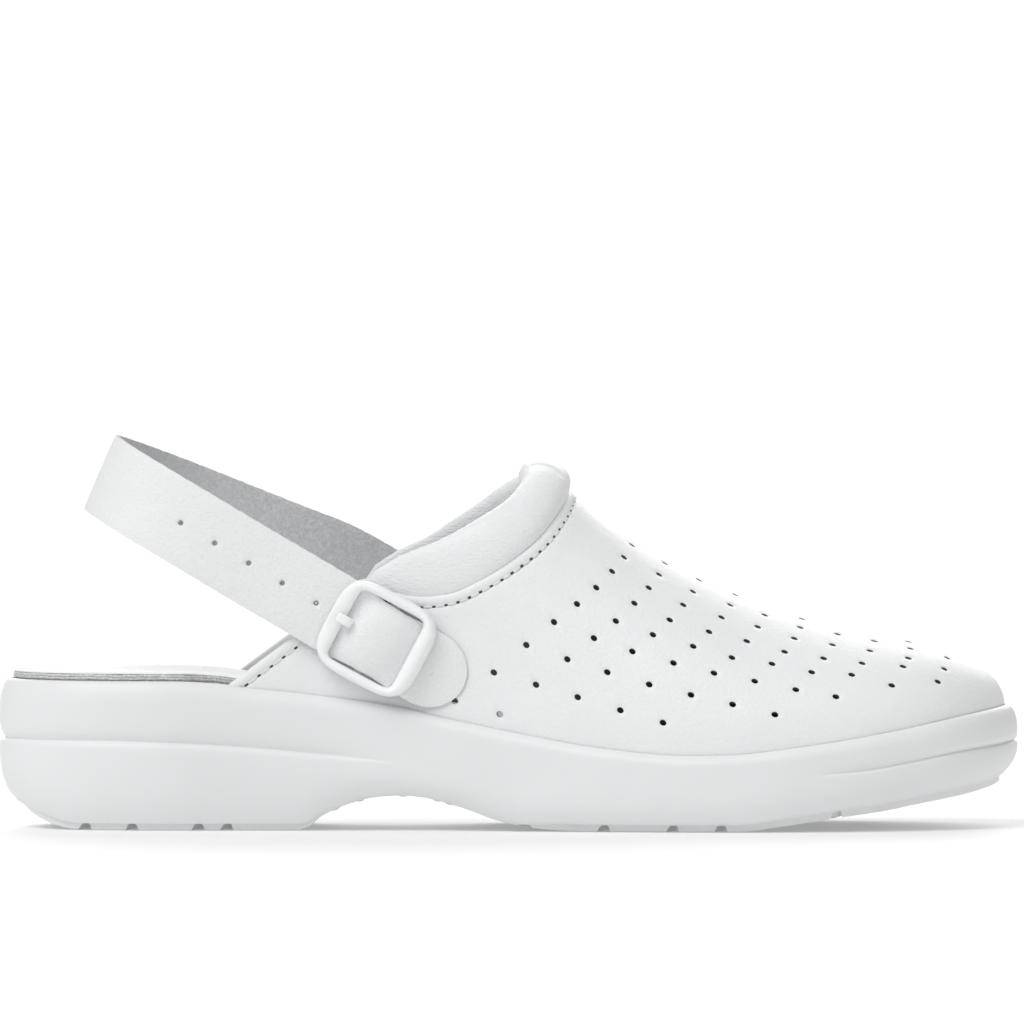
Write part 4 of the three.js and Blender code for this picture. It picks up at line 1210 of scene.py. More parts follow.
@dataclass
class Footbed:
    """Board and leather cover that lie in the sole's tray."""

    last: Last
    upper_wall: float = 1.8 * MM
    dish: float = 1.6 * MM
    dish_inset: float = 11 * MM
    arch_raise: float = 0.3 * MM
    fray: float = 0.16 * MM

    def inset(self, extra: float) -> Callable:
        """Returns the inset of a ring, wider where the upper takes up room."""
        open_inset = self.last.rim_width + self.last.fit_gap
        closed_inset = open_inset + self.upper_wall + 2 * self.last.fit_gap
        start = SEAM_ROWS[0].along * self.last.length

        def at_place(x: Points) -> Points:
            """Returns the inset at each place."""
            return extra + lerp(open_inset, closed_inset, smoothstep(x, start - 8 * MM, start))

        return at_place

    def arch(self, points: Points) -> Points:
        """Returns how far the footbed rises towards the arch of the foot."""
        along = points[..., 0] / self.last.length
        side = smoothstep(points[..., 1], -0.02 * self.last.ball_width, 0.3 * self.last.ball_width)
        place = smoothstep(along, 0.03, 0.26) * (1 - smoothstep(along, 0.42, 0.62))
        return self.arch_raise * side * place

    def ring(self, sole: Sole, row: EdgeRow, wobble: float = 0.0) -> Points:
        """Returns one ring of the edge, a little ragged where asked."""
        ring = sole.ring(sole.stations()[::2], self.inset(row.inset), lambda at: self.last.rim(at) + row.up)
        if wobble:
            s = run_length(ring)
            ring[:, 2] += wobble * (np.sin(s / (0.83 * MM)) * 0.5 + np.sin(s / (2.9 * MM) + 1) * 0.5)
        ring[:, 2] += self.arch(ring) * smoothstep(row.up, 0, 2 * MM)
        return ring

    def cover_top(self, inner: Points, shares: Points) -> Points:
        """Dishes the cover between its edges and raises it at the arch."""
        level = self.last.rim(inner[..., 0]) + COVER_EDGE[-1].up
        width = np.abs(inner[:, :1, 1] - inner[:, -1:, 1]) + 2 * MM
        depth = np.minimum(shares, 1 - shares)[None, :] * width
        inner[..., 2] = level + self.arch(inner) - self.dish * smoothstep(depth, 0, self.dish_inset)
        return inner

    def build(self, sole: Sole) -> list[Piece]:
        """Makes the board and the cover."""
        board = MeshBag(self.last.shift)
        rings = [self.ring(sole, row, self.fray) for row in BOARD_EDGE]
        rings[0], rings[-1] = (self.ring(sole, BOARD_EDGE[end]) for end in (0, -1))
        first = board.add_grid(np.array(rings), True)
        board.fill_ring(first, rings[0], 2, None)
        board.fill_ring(first + len(rings[0]) * (len(rings) - 1), rings[-1], 12, self.cover_under)
        board_piece = board.build("footbed_board", [Finish.BOARD.material], 60)
        cover = MeshBag(self.last.shift)
        rings = [self.ring(sole, row) for row in COVER_EDGE]
        first = cover.add_grid(np.array(rings), True)
        cover.fill_ring(first, rings[0], 24, self.cover_under)
        cover.fill_ring(first + len(rings[0]) * (len(rings) - 1), rings[-1], 24, self.cover_top)
        cover_piece = cover.build("footbed_cover", [Finish.FOOTBED.material], 50)
        return [
            finished(board_piece, ["insole"]),
            finished(cover_piece, ["insole"]),
        ]

    def cover_under(self, inner: Points, shares: Points) -> Points:
        """Keeps the hidden faces under the cover's dish."""
        inner = self.cover_top(inner, shares)
        inner[..., 2] -= 1.2 * MM
        return inner


# Upper


class HoleRow(NamedTuple):
    """Slanting row of perforations seen from the side: its top, middle and low places, and how many."""

    top_x: float
    top_z: float
    mid_x: float
    mid_z: float
    low_x: float
    low_z: float
    count: int


HOLE_ROWS = table(
    HoleRow, (180.1, 81.1, 167.2, 66.6, 140.7, 44.9, 8), (189.5, 75.9, 175.4, 59.6, 142.4, 33.0, 9),
    (199.1, 71.2, 188.4, 57.6, 164.5, 37.9, 8), (209.4, 67.0, 199.7, 54.3, 176.6, 34.2, 8),
    (217.8, 61.3, 208.4, 49.3, 188.7, 30.7, 7), (228.5, 60.1, 223.4, 51.0, 208.5, 35.9, 7),
    (238.5, 55.8, 232.8, 46.9, 220.5, 33.0, 6), (249.0, 53.8, 245.4, 47.6, 237.9, 38.2, 5),
    (258.7, 53.6, 258.6, 49.0, 253.8, 41.3, 5), (269.8, 49.0, 268.9, 45.9, 267.0, 42.3, 3),
)
STRAP_TIP_HOLE = (129.6, 37.4)
ROW_LIFT = 0.62
ROW_CLOSER = (0.3, 1.1)


class Crease(NamedTuple):
    """Soft trough over the upper: both ends as x and z from the side, half width and depth."""

    x1: float
    z1: float
    x2: float
    z2: float
    half: float
    depth: float


UPPER_CREASES = table(
    Crease, (96, 46, 122, 38, 5, 0.3), (136, 62, 158, 40, 6, 0.22), (172, 52, 190, 34, 7, 0.2),
    (150, 74, 168, 64, 6, 0.2), (214, 52, 236, 40, 8, 0.22),
)


@dataclass
class Upper:
    """Vamp and quarters: a leather shell with its folded edges, perforations and lining."""

    last: Last
    sight_rise: float
    wall: float = 1.7 * MM
    skirt: float = 3.4 * MM
    mesh_step: float = 1.5 * MM
    edge_step: float = 0.9 * MM
    hole_radius: float = 1.02 * MM
    hole_lip: float = 0.2 * MM
    hole_flat: float = 0.8
    hole_sink: float = 0.14 * MM
    hole_corners: int = 16
    hole_lean: float = math.radians(20)
    fold: float = 0.34 * MM
    stitch_inset: float = 2.7 * MM
    stitch_dent: float = 0.3 * MM
    band_rows: tuple[float, ...] = (0.3 * MM, 0.8 * MM, 1.5 * MM, 2.1 * MM, 2.7 * MM, 3.3 * MM, 4.1 * MM)

    def seam_spots(self, side: float) -> Points:
        """Returns the spots of one side's edge, from the sole over quarter and seam to the ridge."""
        last = self.last
        x = np.arange(0.2, 0.53, 0.0012) * last.length
        height = last.seam_height(x)
        low = height > last.rim(x) - self.skirt
        spots = last.spots_at(x[low], height[low], side)
        spots = spots[spots[:, 1] < 0.72]
        turns = np.linspace(spots[-1, 1], 1, 60)[1:]
        near, far = np.full(len(turns), 0.3), np.full(len(turns), 0.75)
        for _ in range(40):
            middle = (near + far) / 2
            point = last.skin(np.column_stack([middle, turns, np.full(len(turns), side)]))
            above = point[:, 2] > last.seam_height(point[:, 0])
            near, far = np.where(above, middle, near), np.where(above, far, middle)
        return np.vstack([spots, np.column_stack([(near + far) / 2, turns, np.full(len(turns), side)])])

    def spaced(self, spots: Points, step: float) -> Points:
        """Returns spots of a line at an even distance from each other."""
        reach = run_length(self.last.skin(spots))
        count = max(int(round(reach[-1] / step)), 1)
        even = sample(reach, spots[:, :2], np.linspace(0, reach[-1], count + 1))
        return np.column_stack([even, np.full(count + 1, spots[0, 2])])

    def skirt_spots(self, start: float, end: float, side: float) -> Points:
        """Returns the spots of the skirt's lower edge between two shares of the outline."""
        share = np.linspace(start, end, 260)
        bare = np.column_stack([share, np.zeros(len(share)), np.full(len(share), side)])
        rise = self.last.ridge(share)[:, 2] - self.last.skin(bare)[:, 2]
        bare[:, 1] = -self.skirt / (rise * math.pi / 2)
        return self.spaced(bare, self.edge_step * 1.6)

    def inward(self, spots: Points) -> Points:
        """Returns at each spot of the edge the direction over the skin that is square to it."""
        points = self.last.skin(spots)
        travel = unit(np.gradient(points, axis=0))
        return unit(np.cross(self.last.directions(spots)[2], travel))

    def hole_spots(self) -> Points:
        """Returns the middles of all perforations, the outer side's rows also on the inner side."""
        places = [STRAP_TIP_HOLE]
        for row in HOLE_ROWS:
            for share in np.linspace(0, 1, row.count):
                near, far = (1 - share) * (1 - 2 * share), share * (2 * share - 1)
                middle = 4 * share * (1 - share)
                closer = max(16 * (share - 0.5) * (1 - share), 0)
                x = near * row.top_x + middle * row.mid_x + far * row.low_x + ROW_CLOSER[0] * closer
                z = near * row.top_z + middle * row.mid_z + far * row.low_z + ROW_CLOSER[1] * closer
                places.append((x, z + ROW_LIFT))
        places = np.array(places) * MM
        outer = self.last.spots_at(places[:, 0], places[:, 1], OUTER, self.sight_rise)
        inner = outer[1:].copy()
        inner[:, 2] = INNER
        return np.vstack([outer, inner])

    def filler(self) -> Points:
        """Returns spots spread evenly over the whole skin, thinner where the toe's ribs run together."""
        step, spots = self.mesh_step, []
        share = np.linspace(0.08, 1, int(0.92 * self.last.length * 1.06 / step))
        for side in (OUTER, INNER):
            for k, at in enumerate(share):
                if side > 0 and k == len(share) - 1:
                    continue
                turns = np.linspace(-0.02, 1, 60)
                rib = self.last.skin(np.column_stack([np.full(60, at), turns, np.full(60, side)]))
                reach = run_length(rib)
                count = max(int(reach[-1] / step), 2)
                places = (np.arange(count) + (0.5 if k % 2 else 0.0)) * reach[-1] / count
                turn = np.interp(places, reach, turns)
                row = np.column_stack([np.full(count, at), turn, np.full(count, side)])
                ahead = row.copy()
                ahead[:, 0] = np.clip(at + (share[1] - share[0]) * (1 if k < len(share) - 1 else -1), 0, 1)
                gap = np.linalg.norm(self.last.skin(ahead) - self.last.skin(row), axis=1) / step
                skip = 2 ** np.ceil(np.log2(np.clip(0.8 / np.maximum(gap, 0.02), 1, 64))).astype(int)
                spots.append(row[(k % skip) == 0])
        return np.vstack(spots)

    def build(self) -> Piece:
        """Makes the shell."""
        last = self.last
        outer_edge = self.spaced(self.seam_spots(OUTER), self.edge_step)
        inner_edge = self.spaced(self.seam_spots(INNER), self.edge_step)
        outer_skirt = self.skirt_spots(outer_edge[0, 0], 1, OUTER)
        inner_skirt = self.skirt_spots(inner_edge[0, 0], 1, INNER)
        loop = np.vstack([outer_skirt[1:], inner_skirt[:-1][::-1], inner_edge[1:], outer_edge[:-1][::-1]])
        self.edge_spots = np.vstack([inner_edge, outer_edge[:-1][::-1]])
        self.edge_line = last.skin(self.edge_spots)
        into = self.inward(self.edge_spots)
        towards = last.skin(self.edge_spots + [0.01, 0, 0]) - self.edge_line
        into *= np.sign((into * towards).sum())
        self.edge_inward = into
        reach = run_length(self.edge_line)
        self.edge_dense = sample(reach, self.edge_line, np.arange(0, reach[-1], 0.12 * MM))
        bands, band_edges = [], []
        for depth in self.band_rows:
            row = last.moved(self.edge_spots[2:-2], into[2:-2] * depth)
            far, _ = nearest(last.skin(row), self.edge_dense)
            kept = (row[:, 1] > -0.01) & (far > depth * 0.86)
            firm = kept & (far > depth * 0.95)
            numbers = np.cumsum(kept) - 1 + sum(len(band) for band in bands)
            band_edges += [numbers[k : k + 2] for k in np.flatnonzero(firm[:-1] & firm[1:])]
            bands.append(row[kept])
        holes = self.hole_spots()
        a, _, normal = last.directions(holes)
        side_way = unit(a)
        up_way = unit(np.cross(normal, side_way))
        up_way *= np.sign(up_way[:, 2:3])
        cosine, sine = math.cos(self.hole_lean), math.sin(self.hole_lean)
        side_way, up_way = side_way * cosine - up_way * sine, side_way * sine + up_way * cosine
        rings = []
        for radius in (self.hole_radius, self.hole_radius + self.hole_lip):
            ring = []
            for turn in full_turn(self.hole_corners):
                way = side_way * math.cos(turn) + up_way * math.sin(turn) * self.hole_flat
                ring.append(last.moved(holes, way * radius))
            rings.append(np.stack(ring, axis=1).reshape(-1, 3))
        first_lip = len(loop) + len(rings[0])
        band_edges = [edge + first_lip + len(rings[1]) for edge in band_edges]
        fixed = np.vstack([loop, *rings, *bands])
        fixed_points = last.skin(fixed)
        filler = self.filler()
        filler_points = last.skin(filler)
        heights = last.seam_height(filler_points[:, 0])
        kept = (filler_points[:, 2] < heights) | (filler_points[:, 0] > 0.6 * last.length)
        filler, filler_points = filler[kept], filler_points[kept]
        gap, _ = nearest(filler_points, fixed_points)
        hole_gap, _ = nearest(filler_points, last.skin(holes))
        filler = filler[(gap > 0.55 * self.mesh_step) & (hole_gap > self.hole_radius + self.hole_lip)]
        everything = np.vstack([fixed, filler])
        flat = last.plan(everything)
        points = last.skin(everything)
        wall_loops = ring_numbers(len(loop), len(holes), self.hole_corners)
        lips = [closed_row(ring) for ring in ring_numbers(first_lip, len(holes), self.hole_corners)]
        triangles = flat_triangles(flat, lips + band_edges, wall_loops, np.arange(len(loop)))
        normals = corner_normals(points, triangles)
        if (normals * (points - points.mean(axis=0))).sum() < 0:
            triangles, normals = triangles[:, ::-1], -normals
        relief = self.relief(points)
        lowered = np.zeros(len(points))
        lowered[len(loop) : first_lip] = self.hole_sink
        top = points + normals * (relief - lowered)[:, None]
        back = points - normals * self.wall
        bag = MeshBag(last.shift)
        # Hole walls take the lining finish, so they carry its painted shade and look dark like the shade in
        # a hole.
        rims = [(np.arange(len(loop)), 0.45 * MM, 4, 0)] + [(wall, 0.0, 1, 1) for wall in wall_loops]
        thick_sheet(bag, top, back, triangles, rims)
        piece = bag.build("perforated_upper", [Finish.UPPER.material, Finish.LINING.material], 50)
        return finished(piece, ["upper"])

    def relief(self, points: Points) -> Points:
        """Returns how far the leather stands over the plain skin, with its folded edge and soft creases."""
        far, _ = nearest(points, self.edge_dense)
        fold = smoothstep(far, -0.3 * MM, 0.7 * MM) - smoothstep(far, 1.6 * MM, self.stitch_inset)
        dent = self.stitch_dent * np.exp(-(((far - self.stitch_inset) / (0.55 * MM)) ** 2))
        puff = 0.12 * MM * np.exp(-(((far - 4.6 * MM) / (1.6 * MM)) ** 2))
        relief = self.fold * fold - dent + puff
        for crease in UPPER_CREASES:
            start = np.array([crease.x1, crease.z1]) * MM
            end = np.array([crease.x2, crease.z2]) * MM
            side_view = points[:, [0, 2]]
            share = ((side_view - start) @ (end - start)) / ((end - start) @ (end - start))
            beside = start + np.clip(share, 0, 1)[:, None] * (end - start)
            off = np.linalg.norm(side_view - beside, axis=1)
            relief -= crease.depth * MM * np.exp(-((off / (crease.half * MM)) ** 2))
        return relief


# Seams


class PitRow(NamedTuple):
    """Level of the dark lens painted as a needle hole's shade: share of its size, and height over the
    leather in millimetres.
    """

    share: float
    lift: float


PIT_ROWS = table(PitRow, (1.0, 0.06), (0.8, 0.12), (0.4, 0.15))


@dataclass
class Seam:
    """Row of stitches: white thread between dark lenses of painted shade that stand for the needle holes."""

    last: Last
    thread: float = 0.34 * MM
    hole_long: float = 0.78 * MM
    hole_wide: float = 0.4 * MM
    pitch: float = 3.4 * MM
    sides: int = 8
    arc_steps: int = 10
    hole_corners: int = 12

    def along(self, points: Points, normals: Points, name: str) -> list[Piece]:
        """Sews along a line.

        Args:
            points: closely spaced points of the line, on the leather.
            normals: the leather's normal at each.
            name: name of the row.

        Returns:
            The thread and the needle holes' painted shade.
        """
        reach = run_length(points)
        count = max(int(round(reach[-1] / self.pitch)), 2)
        marks = np.linspace(0, reach[-1], count + 1)
        travel = unit(np.gradient(points, axis=0))
        thread, shade_pits = MeshBag(self.last.shift), MeshBag(self.last.shift)
        for start, end in zip(marks[:-1], marks[1:]):
            share = np.linspace(0, 1, self.arc_steps + 1)
            at = lerp(start + self.hole_long * 0.35, end - self.hole_long * 0.35, share)
            way, face = sample(reach, travel, at), unit(sample(reach, normals, at))
            height = self.thread * (1.5 * np.sin(math.pi * share) ** 0.45 - 0.95)
            middle = sample(reach, points, at) + face * height[:, None]
            beside = unit(np.cross(face, way))
            thick = self.thread * (0.55 + 0.45 * np.sin(math.pi * share) ** 0.4)
            ways = [beside * math.cos(turn) + face * math.sin(turn) for turn in full_turn(self.sides)]
            grid = np.stack([middle + way * thick[:, None] for way in ways], axis=1)
            first = thread.add_grid(grid, True)
            thread.add_cap(first, self.sides)
            thread.add_cap(first + self.arc_steps * self.sides, self.sides)
        # Painted shade: each needle hole is a dark lens laid on the leather, not a real hole.
        way, face = unit(sample(reach, travel, marks)), unit(sample(reach, normals, marks))
        beside = unit(np.cross(face, way))
        middles = sample(reach, points, marks)
        turns = full_turn(self.hole_corners)
        for middle, w, f, b in zip(middles, way, face, beside):
            rows = []
            for share, lift in PIT_ROWS:
                long = np.outer(np.cos(turns), w) * self.hole_long * share
                wide = np.outer(np.sin(turns), b) * self.hole_wide * share
                rows.append(middle + f * lift * MM + long + wide)
            under = rows[0] - f * 0.5 * MM
            first = shade_pits.add_grid(np.array([under, *rows]), True)
            shade_pits.add_cap(first, self.hole_corners)
            shade_pits.add_cap(first + len(rows) * self.hole_corners, self.hole_corners)
        stitches = thread.build(name + "_stitches", [Finish.THREAD.material], 60)
        holes = shade_pits.build(name + "_needle_hole_shades", [Finish.NEEDLE_HOLE.material], 60)
        return [finished(stitches), finished(holes)]


def sew_upper(last: Last, upper: Upper) -> None:
    """Sews the collar seam and both rear edges of the quarters.

    Args:
        last: the shoe's form.
        upper: the shell, built, whose edge the rows follow.
    """
    row = last.moved(upper.edge_spots, upper.edge_inward * upper.stitch_inset)
    points = last.skin(row)
    normals = last.directions(row)[2]
    outward = points - points.mean(axis=0)
    normals *= np.sign((normals * (outward * [0.2, 1, 0.6])).sum(axis=1))[:, None]
    edge = upper.edge_line
    points = points - normals * upper.stitch_dent * 0.7
    peak_x = 0.36 * last.length
    rear = edge[:, 0] < peak_x - 4 * MM
    inner = edge[:, 1] > 0
    over_rim = points[:, 2] > last.rim(points[:, 0]) + 0.3 * MM
    collar = edge[:, 0] > peak_x + 5.5 * MM
    Seam(last, pitch=3.5 * MM).along(points[collar], normals[collar], "collar_seam")
    rows = (("outer_quarter", rear & ~inner & over_rim), ("inner_quarter", rear & inner & over_rim))
    for name, chosen in rows:
        Seam(last, pitch=4.3 * MM).along(points[chosen], normals[chosen], name)


# Collar


class CollarRow(NamedTuple):
    """Padding from the collar's tail to the instep, as shares of the bulge, the pad and the sink."""

    turn: float
    bulge: float
    pad: float
    sink: float


COLLAR_ROWS = table(
    CollarRow, (0.19, 0, 0.18, 0), (0.25, 0.12, 0.3, 0), (0.4, 0.42, 0.55, 0.2), (0.6, 0.85, 0.8, 0.6),
    (0.8, 0.92, 0.95, 0.9), (1, 0.52, 1, 1),
)
INNER_TOP_ROWS = table(
    ValueRow, (0.37, 0), (0.4155, 0.5 * MM), (0.44, 2.2 * MM), (0.4755, 3.2 * MM), (0.488, 4.2 * MM),
    (0.5, 3.9 * MM), (0.511, 1.6 * MM), (0.521, 0),
)


class Fold(NamedTuple):
    """Fold of the collar's inside: share of the way round, half width and depth."""

    place: float
    half: float
    depth: float


INSIDE_FOLDS = table(
    Fold, (0.745, 0.007, 2.2), (0.768, 0.006, 2.6), (0.79, 0.006, 3.0), (0.815, 0.007, 2.6),
    (0.845, 0.007, 3.0), (0.88, 0.008, 2.4), (0.92, 0.009, 2.0), (0.4, 0.008, 1.4),
)
OUTSIDE_FOLDS = table(
    Fold, (0.30, 0.012, 0.16), (0.345, 0.009, 0.14), (0.40, 0.01, 0.2), (0.62, 0.01, 0.16),
    (0.7, 0.012, 0.16),
)


@dataclass
class Collar:
    """Padded crescent of soft leather along the top line."""

    last: Last
    upper_wall: float = 1.8 * MM
    bulge: float = 4.9 * MM
    pad: float = 7 * MM
    sink: float = 6.4 * MM
    tail_proud: float = 0.6 * MM
    front_back: float = 2.4 * MM
    front_down: float = 0.8 * MM
    stations: int = 400
    around: int = 56
    tail_stations: int = 24
    tail_seam: float = 0.357
    tail_top: float = 0.353
    tail_drop: float = 2.5 * MM
    tail_thin: float = 0.6
    ease_rounds: int = 30

    def side_line(self, height: Callable, turn: Points, side: float, shrink: Points, span: tuple) -> Points:
        """Finds where a line seen from the side crosses each rib.

        Args:
            height: height of the line over its x.
            turn: turns of the ribs.
            side: OUTER or INNER.
            shrink: how deep under the skin.
            span: x between which the crossing lies.

        Returns:
            One point a rib.
        """
        last = self.last
        line_x, line_y = last.feather_lines[side]
        low, high = np.full(len(turn), span[0]), np.full(len(turn), span[1])

        def point_at(x: Points) -> Points:
            """Returns the rib's point with that turn at each x."""
            angle = turn * math.pi / 2
            crest = last.ridge_height(x) - shrink
            inward = 1 - np.maximum(np.cos(angle), 0) ** last.fullness[side](x / last.length)
            start = np.interp(x, line_x, line_y) - side * shrink
            y = lerp(start, last.ridge_shift(x / last.length) * last.ball_width, inward)
            return np.column_stack([x, y, lerp(last.rim(x), crest, np.sin(angle))])

        for _ in range(40):
            middle = (low + high) / 2
            above = point_at(middle)[:, 2] > height(middle)
            low, high = np.where(above, middle, low), np.where(above, high, middle)
        return point_at((low + high) / 2)

    def build(self) -> Piece:
        """Makes the collar."""
        last = self.last
        place = np.linspace(0, 1, self.stations + 1)
        turn = COLLAR_ROWS[0].turn + (1 - COLLAR_ROWS[0].turn) * (1 - np.abs(2 * place - 1))
        bulge, pad, sink = (column(COLLAR_ROWS, name)(turn) for name in ("bulge", "pad", "sink"))
        wall = self.upper_wall / 2
        top_sink = wall + (self.sink - wall) * sink
        seam_span = (0.36 * last.length, SEAM_ROWS[-1].along * last.length)
        top_span = (TOP_LINE_ROWS[0].along * last.length, TOP_LINE_ROWS[-1].along * last.length)
        outer = place <= 0.5
        seam, top = np.zeros((len(place), 3)), np.zeros((len(place), 3))
        for side, chosen in ((OUTER, outer), (INNER, ~outer)):
            deep = np.full(chosen.sum(), wall)
            seam[chosen] = self.side_line(last.seam_height, turn[chosen], side, deep, seam_span)
            top[chosen] = self.side_line(last.top_height, turn[chosen], side, top_sink[chosen], top_span)
        inner_rise = column(INNER_TOP_ROWS, "value")(top[:, 0] / last.length)
        top[:, 2] += np.where(outer, 0, inner_rise)
        front = smoothstep(turn, 0.72, 1)
        top[:, 0] -= self.front_back * front
        top[:, 2] -= self.front_down * front
        seam, top = self.eased(seam), self.eased(top)
        seam, top, place, turn, bulge, pad = self.with_tails(seam, top, place, turn, bulge, pad)
        along = unit(np.gradient(seam + top, axis=0))
        across = top - seam
        width = np.linalg.norm(across, axis=1)
        across = unit(across)
        outward = unit(np.cross(across, along))
        phi = full_turn(self.around)
        reach = width + 0.4 * MM
        proud = self.tail_proud + wall + (self.bulge - self.tail_proud - wall) * bulge
        inside = self.pad * pad
        grid = np.zeros((len(place), self.around, 3))
        for j, angle in enumerate(phi):
            share = 0.5 - 0.5 * math.cos(angle)
            outside = math.sin(angle) >= 0
            thick = proud if outside else inside
            depth = abs(math.sin(angle)) ** (0.92 if outside else 0.8)
            folds = OUTSIDE_FOLDS if outside else INSIDE_FOLDS
            crease = sum(
                fold.depth * MM * np.exp(-(((place - fold.place - 0.02 * (share - 0.5)) / fold.half) ** 2))
                for fold in folds
            )
            crease = crease * math.sin(math.pi * share) ** 0.5 * smoothstep(turn, 0.25, 0.6)
            level = (thick - crease * np.minimum(thick / (4 * MM), 1)) * depth * (1 if outside else -1)
            grid[:, j] = seam + across * (reach * share)[:, None] + outward * level[:, None]
        bag = MeshBag(last.shift)
        first = bag.add_grid(grid, True)
        bag.add_cap(first, self.around)
        bag.add_cap(first + (len(place) - 1) * self.around, self.around)
        piece = bag.build("padded_collar", [Finish.COLLAR.material], 80)
        finished(piece, ["collar"])
        return piece

    def with_tails(
        self, seam: Points, top: Points, place: Points, turn: Points, bulge: Points, pad: Points
    ) -> list[Points]:
        """Adds both thin tails, which run out on the quarters' peaks under the strap.

        Args:
            seam: points of the collar's seam.
            top: points of its top line.
            place: shares of the way round.
            turn: turns of the ribs.
            bulge: shares of the bulge.
            pad: shares of the pad.

        Returns:
            The same rows, longer at both ends.
        """
        share = np.linspace(1, 0, self.tail_stations, endpoint=False)
        rows = [[seam], [top], [place], [turn], [bulge], [pad]]
        for side, end in ((OUTER, 0), (INNER, -1)):
            low_x = lerp(seam[end, 0], self.tail_seam * self.last.length, share)
            high_x = lerp(top[end, 0], self.tail_top * self.last.length, share)
            off = seam[end, 2] - self.last.seam_height(seam[end, 0])
            low_z = self.last.seam_height(low_x) + off * (1 - share)
            high_z = lerp(top[end, 2], self.last.seam_height(high_x[0]) - self.tail_drop, share)
            low, high = self.last.flank(low_x, low_z, side), self.last.flank(high_x, high_z, side)
            low[:, 1] += seam[end, 1] - self.last.flank(seam[end, 0], seam[end, 2], side)[0, 1]
            high[:, 1] += top[end, 1] - self.last.flank(top[end, 0], top[end, 2], side)[0, 1]
            tail = [low, high, place[end] + 0 * share, turn[end] + 0 * share]
            tail += [bulge[end] * (1 - share), pad[end] * (1 - share * self.tail_thin)]
            for row, part in zip(rows, tail):
                if end == 0:
                    row.insert(0, part)
                else:
                    row.append(part[::-1])
        return [np.concatenate(row) for row in rows]

    def eased(self, line: Points) -> Points:
        """Returns a line with small kinks smoothed out."""
        eased = line.copy()
        for _ in range(self.ease_rounds):
            eased[1:-1] = 0.5 * eased[1:-1] + 0.25 * (eased[:-2] + eased[2:])
        return eased


# Strap and buckle


class LoopRow(NamedTuple):
    """Half width of the strap's loop, as a share of the quarter's (heel 0) or of the heel's (heel 1)."""

    back: float
    half: float
    heel: float


LOOP_ROWS = table(
    LoopRow, (0.2, 1, 0), (0.36, 1, 0.4), (0.52, 0.99, 0.85), (0.66, 0.955, 1), (0.78, 0.87, 1),
    (0.88, 0.72, 1), (0.95, 0.51, 1), (0.99, 0.25, 1), (1, 0, 1),
)


@dataclass
class BuckleSeat:
    """Place of the buckle on the outer quarter, its first axis along the strap."""

    last: Last
    along_share: float = 0.371
    rise_share: float = 0.26
    slope: float = math.radians(30.5)
    length: float = 32 * MM
    width: float = 30 * MM

    def __post_init__(self) -> None:
        """Works out the middle and the three axes."""
        last = self.last
        x = self.along_share * last.length
        z = float(last.rim(x)) + self.rise_share * last.instep_rise
        step = 1 * MM

        def at(dx: float, dz: float) -> Points:
            """Returns the skin beside the middle."""
            return last.flank(x + dx, z + dz, OUTER)[0]

        along_x = at(step, 0) - at(-step, 0)
        along_z = at(0, step) - at(0, -step)
        self.outward = unit(np.cross(along_x, along_z))
        along = unit(along_x) * math.cos(self.slope) - unit(along_z) * math.sin(self.slope)
        self.along = unit(along - self.outward * (along @ self.outward))
        self.up = np.cross(self.outward, self.along)
        self.middle = at(0, 0)
        spots = np.array([-1, -0.5, 0, 0.5, 1])
        grid = [(a * self.length / 2, w * self.width / 2) for a in spots for w in spots]
        self.middle = self.middle + self.outward * max(self.lift(a, w) for a, w in grid)

    def lift(self, a: float, w: float) -> float:
        """Returns how far the skin stands over the seat at a place along and across it."""
        flat = self.middle + self.along * a + self.up * w
        skin = self.last.flank(flat[0], flat[2], OUTER)[0]
        return float((skin[1] - flat[1]) * self.outward[1])

    def lifts(self, a: Points, w: Points) -> Points:
        """Returns how far the skin stands over the seat at many places."""
        flat = self.point(a, w, np.zeros(len(a)))
        skin = self.last.flank(flat[:, 0], flat[:, 2], OUTER)
        return (skin[:, 1] - flat[:, 1]) * self.outward[1]

    def point(self, a: Points, w: Points, h: Points) -> Points:
        """Returns points at places along, across and over the seat."""
        a, w, h = np.broadcast_arrays(a, w, h)
        flat = self.middle + a[..., None] * self.along + w[..., None] * self.up
        return flat + h[..., None] * self.outward


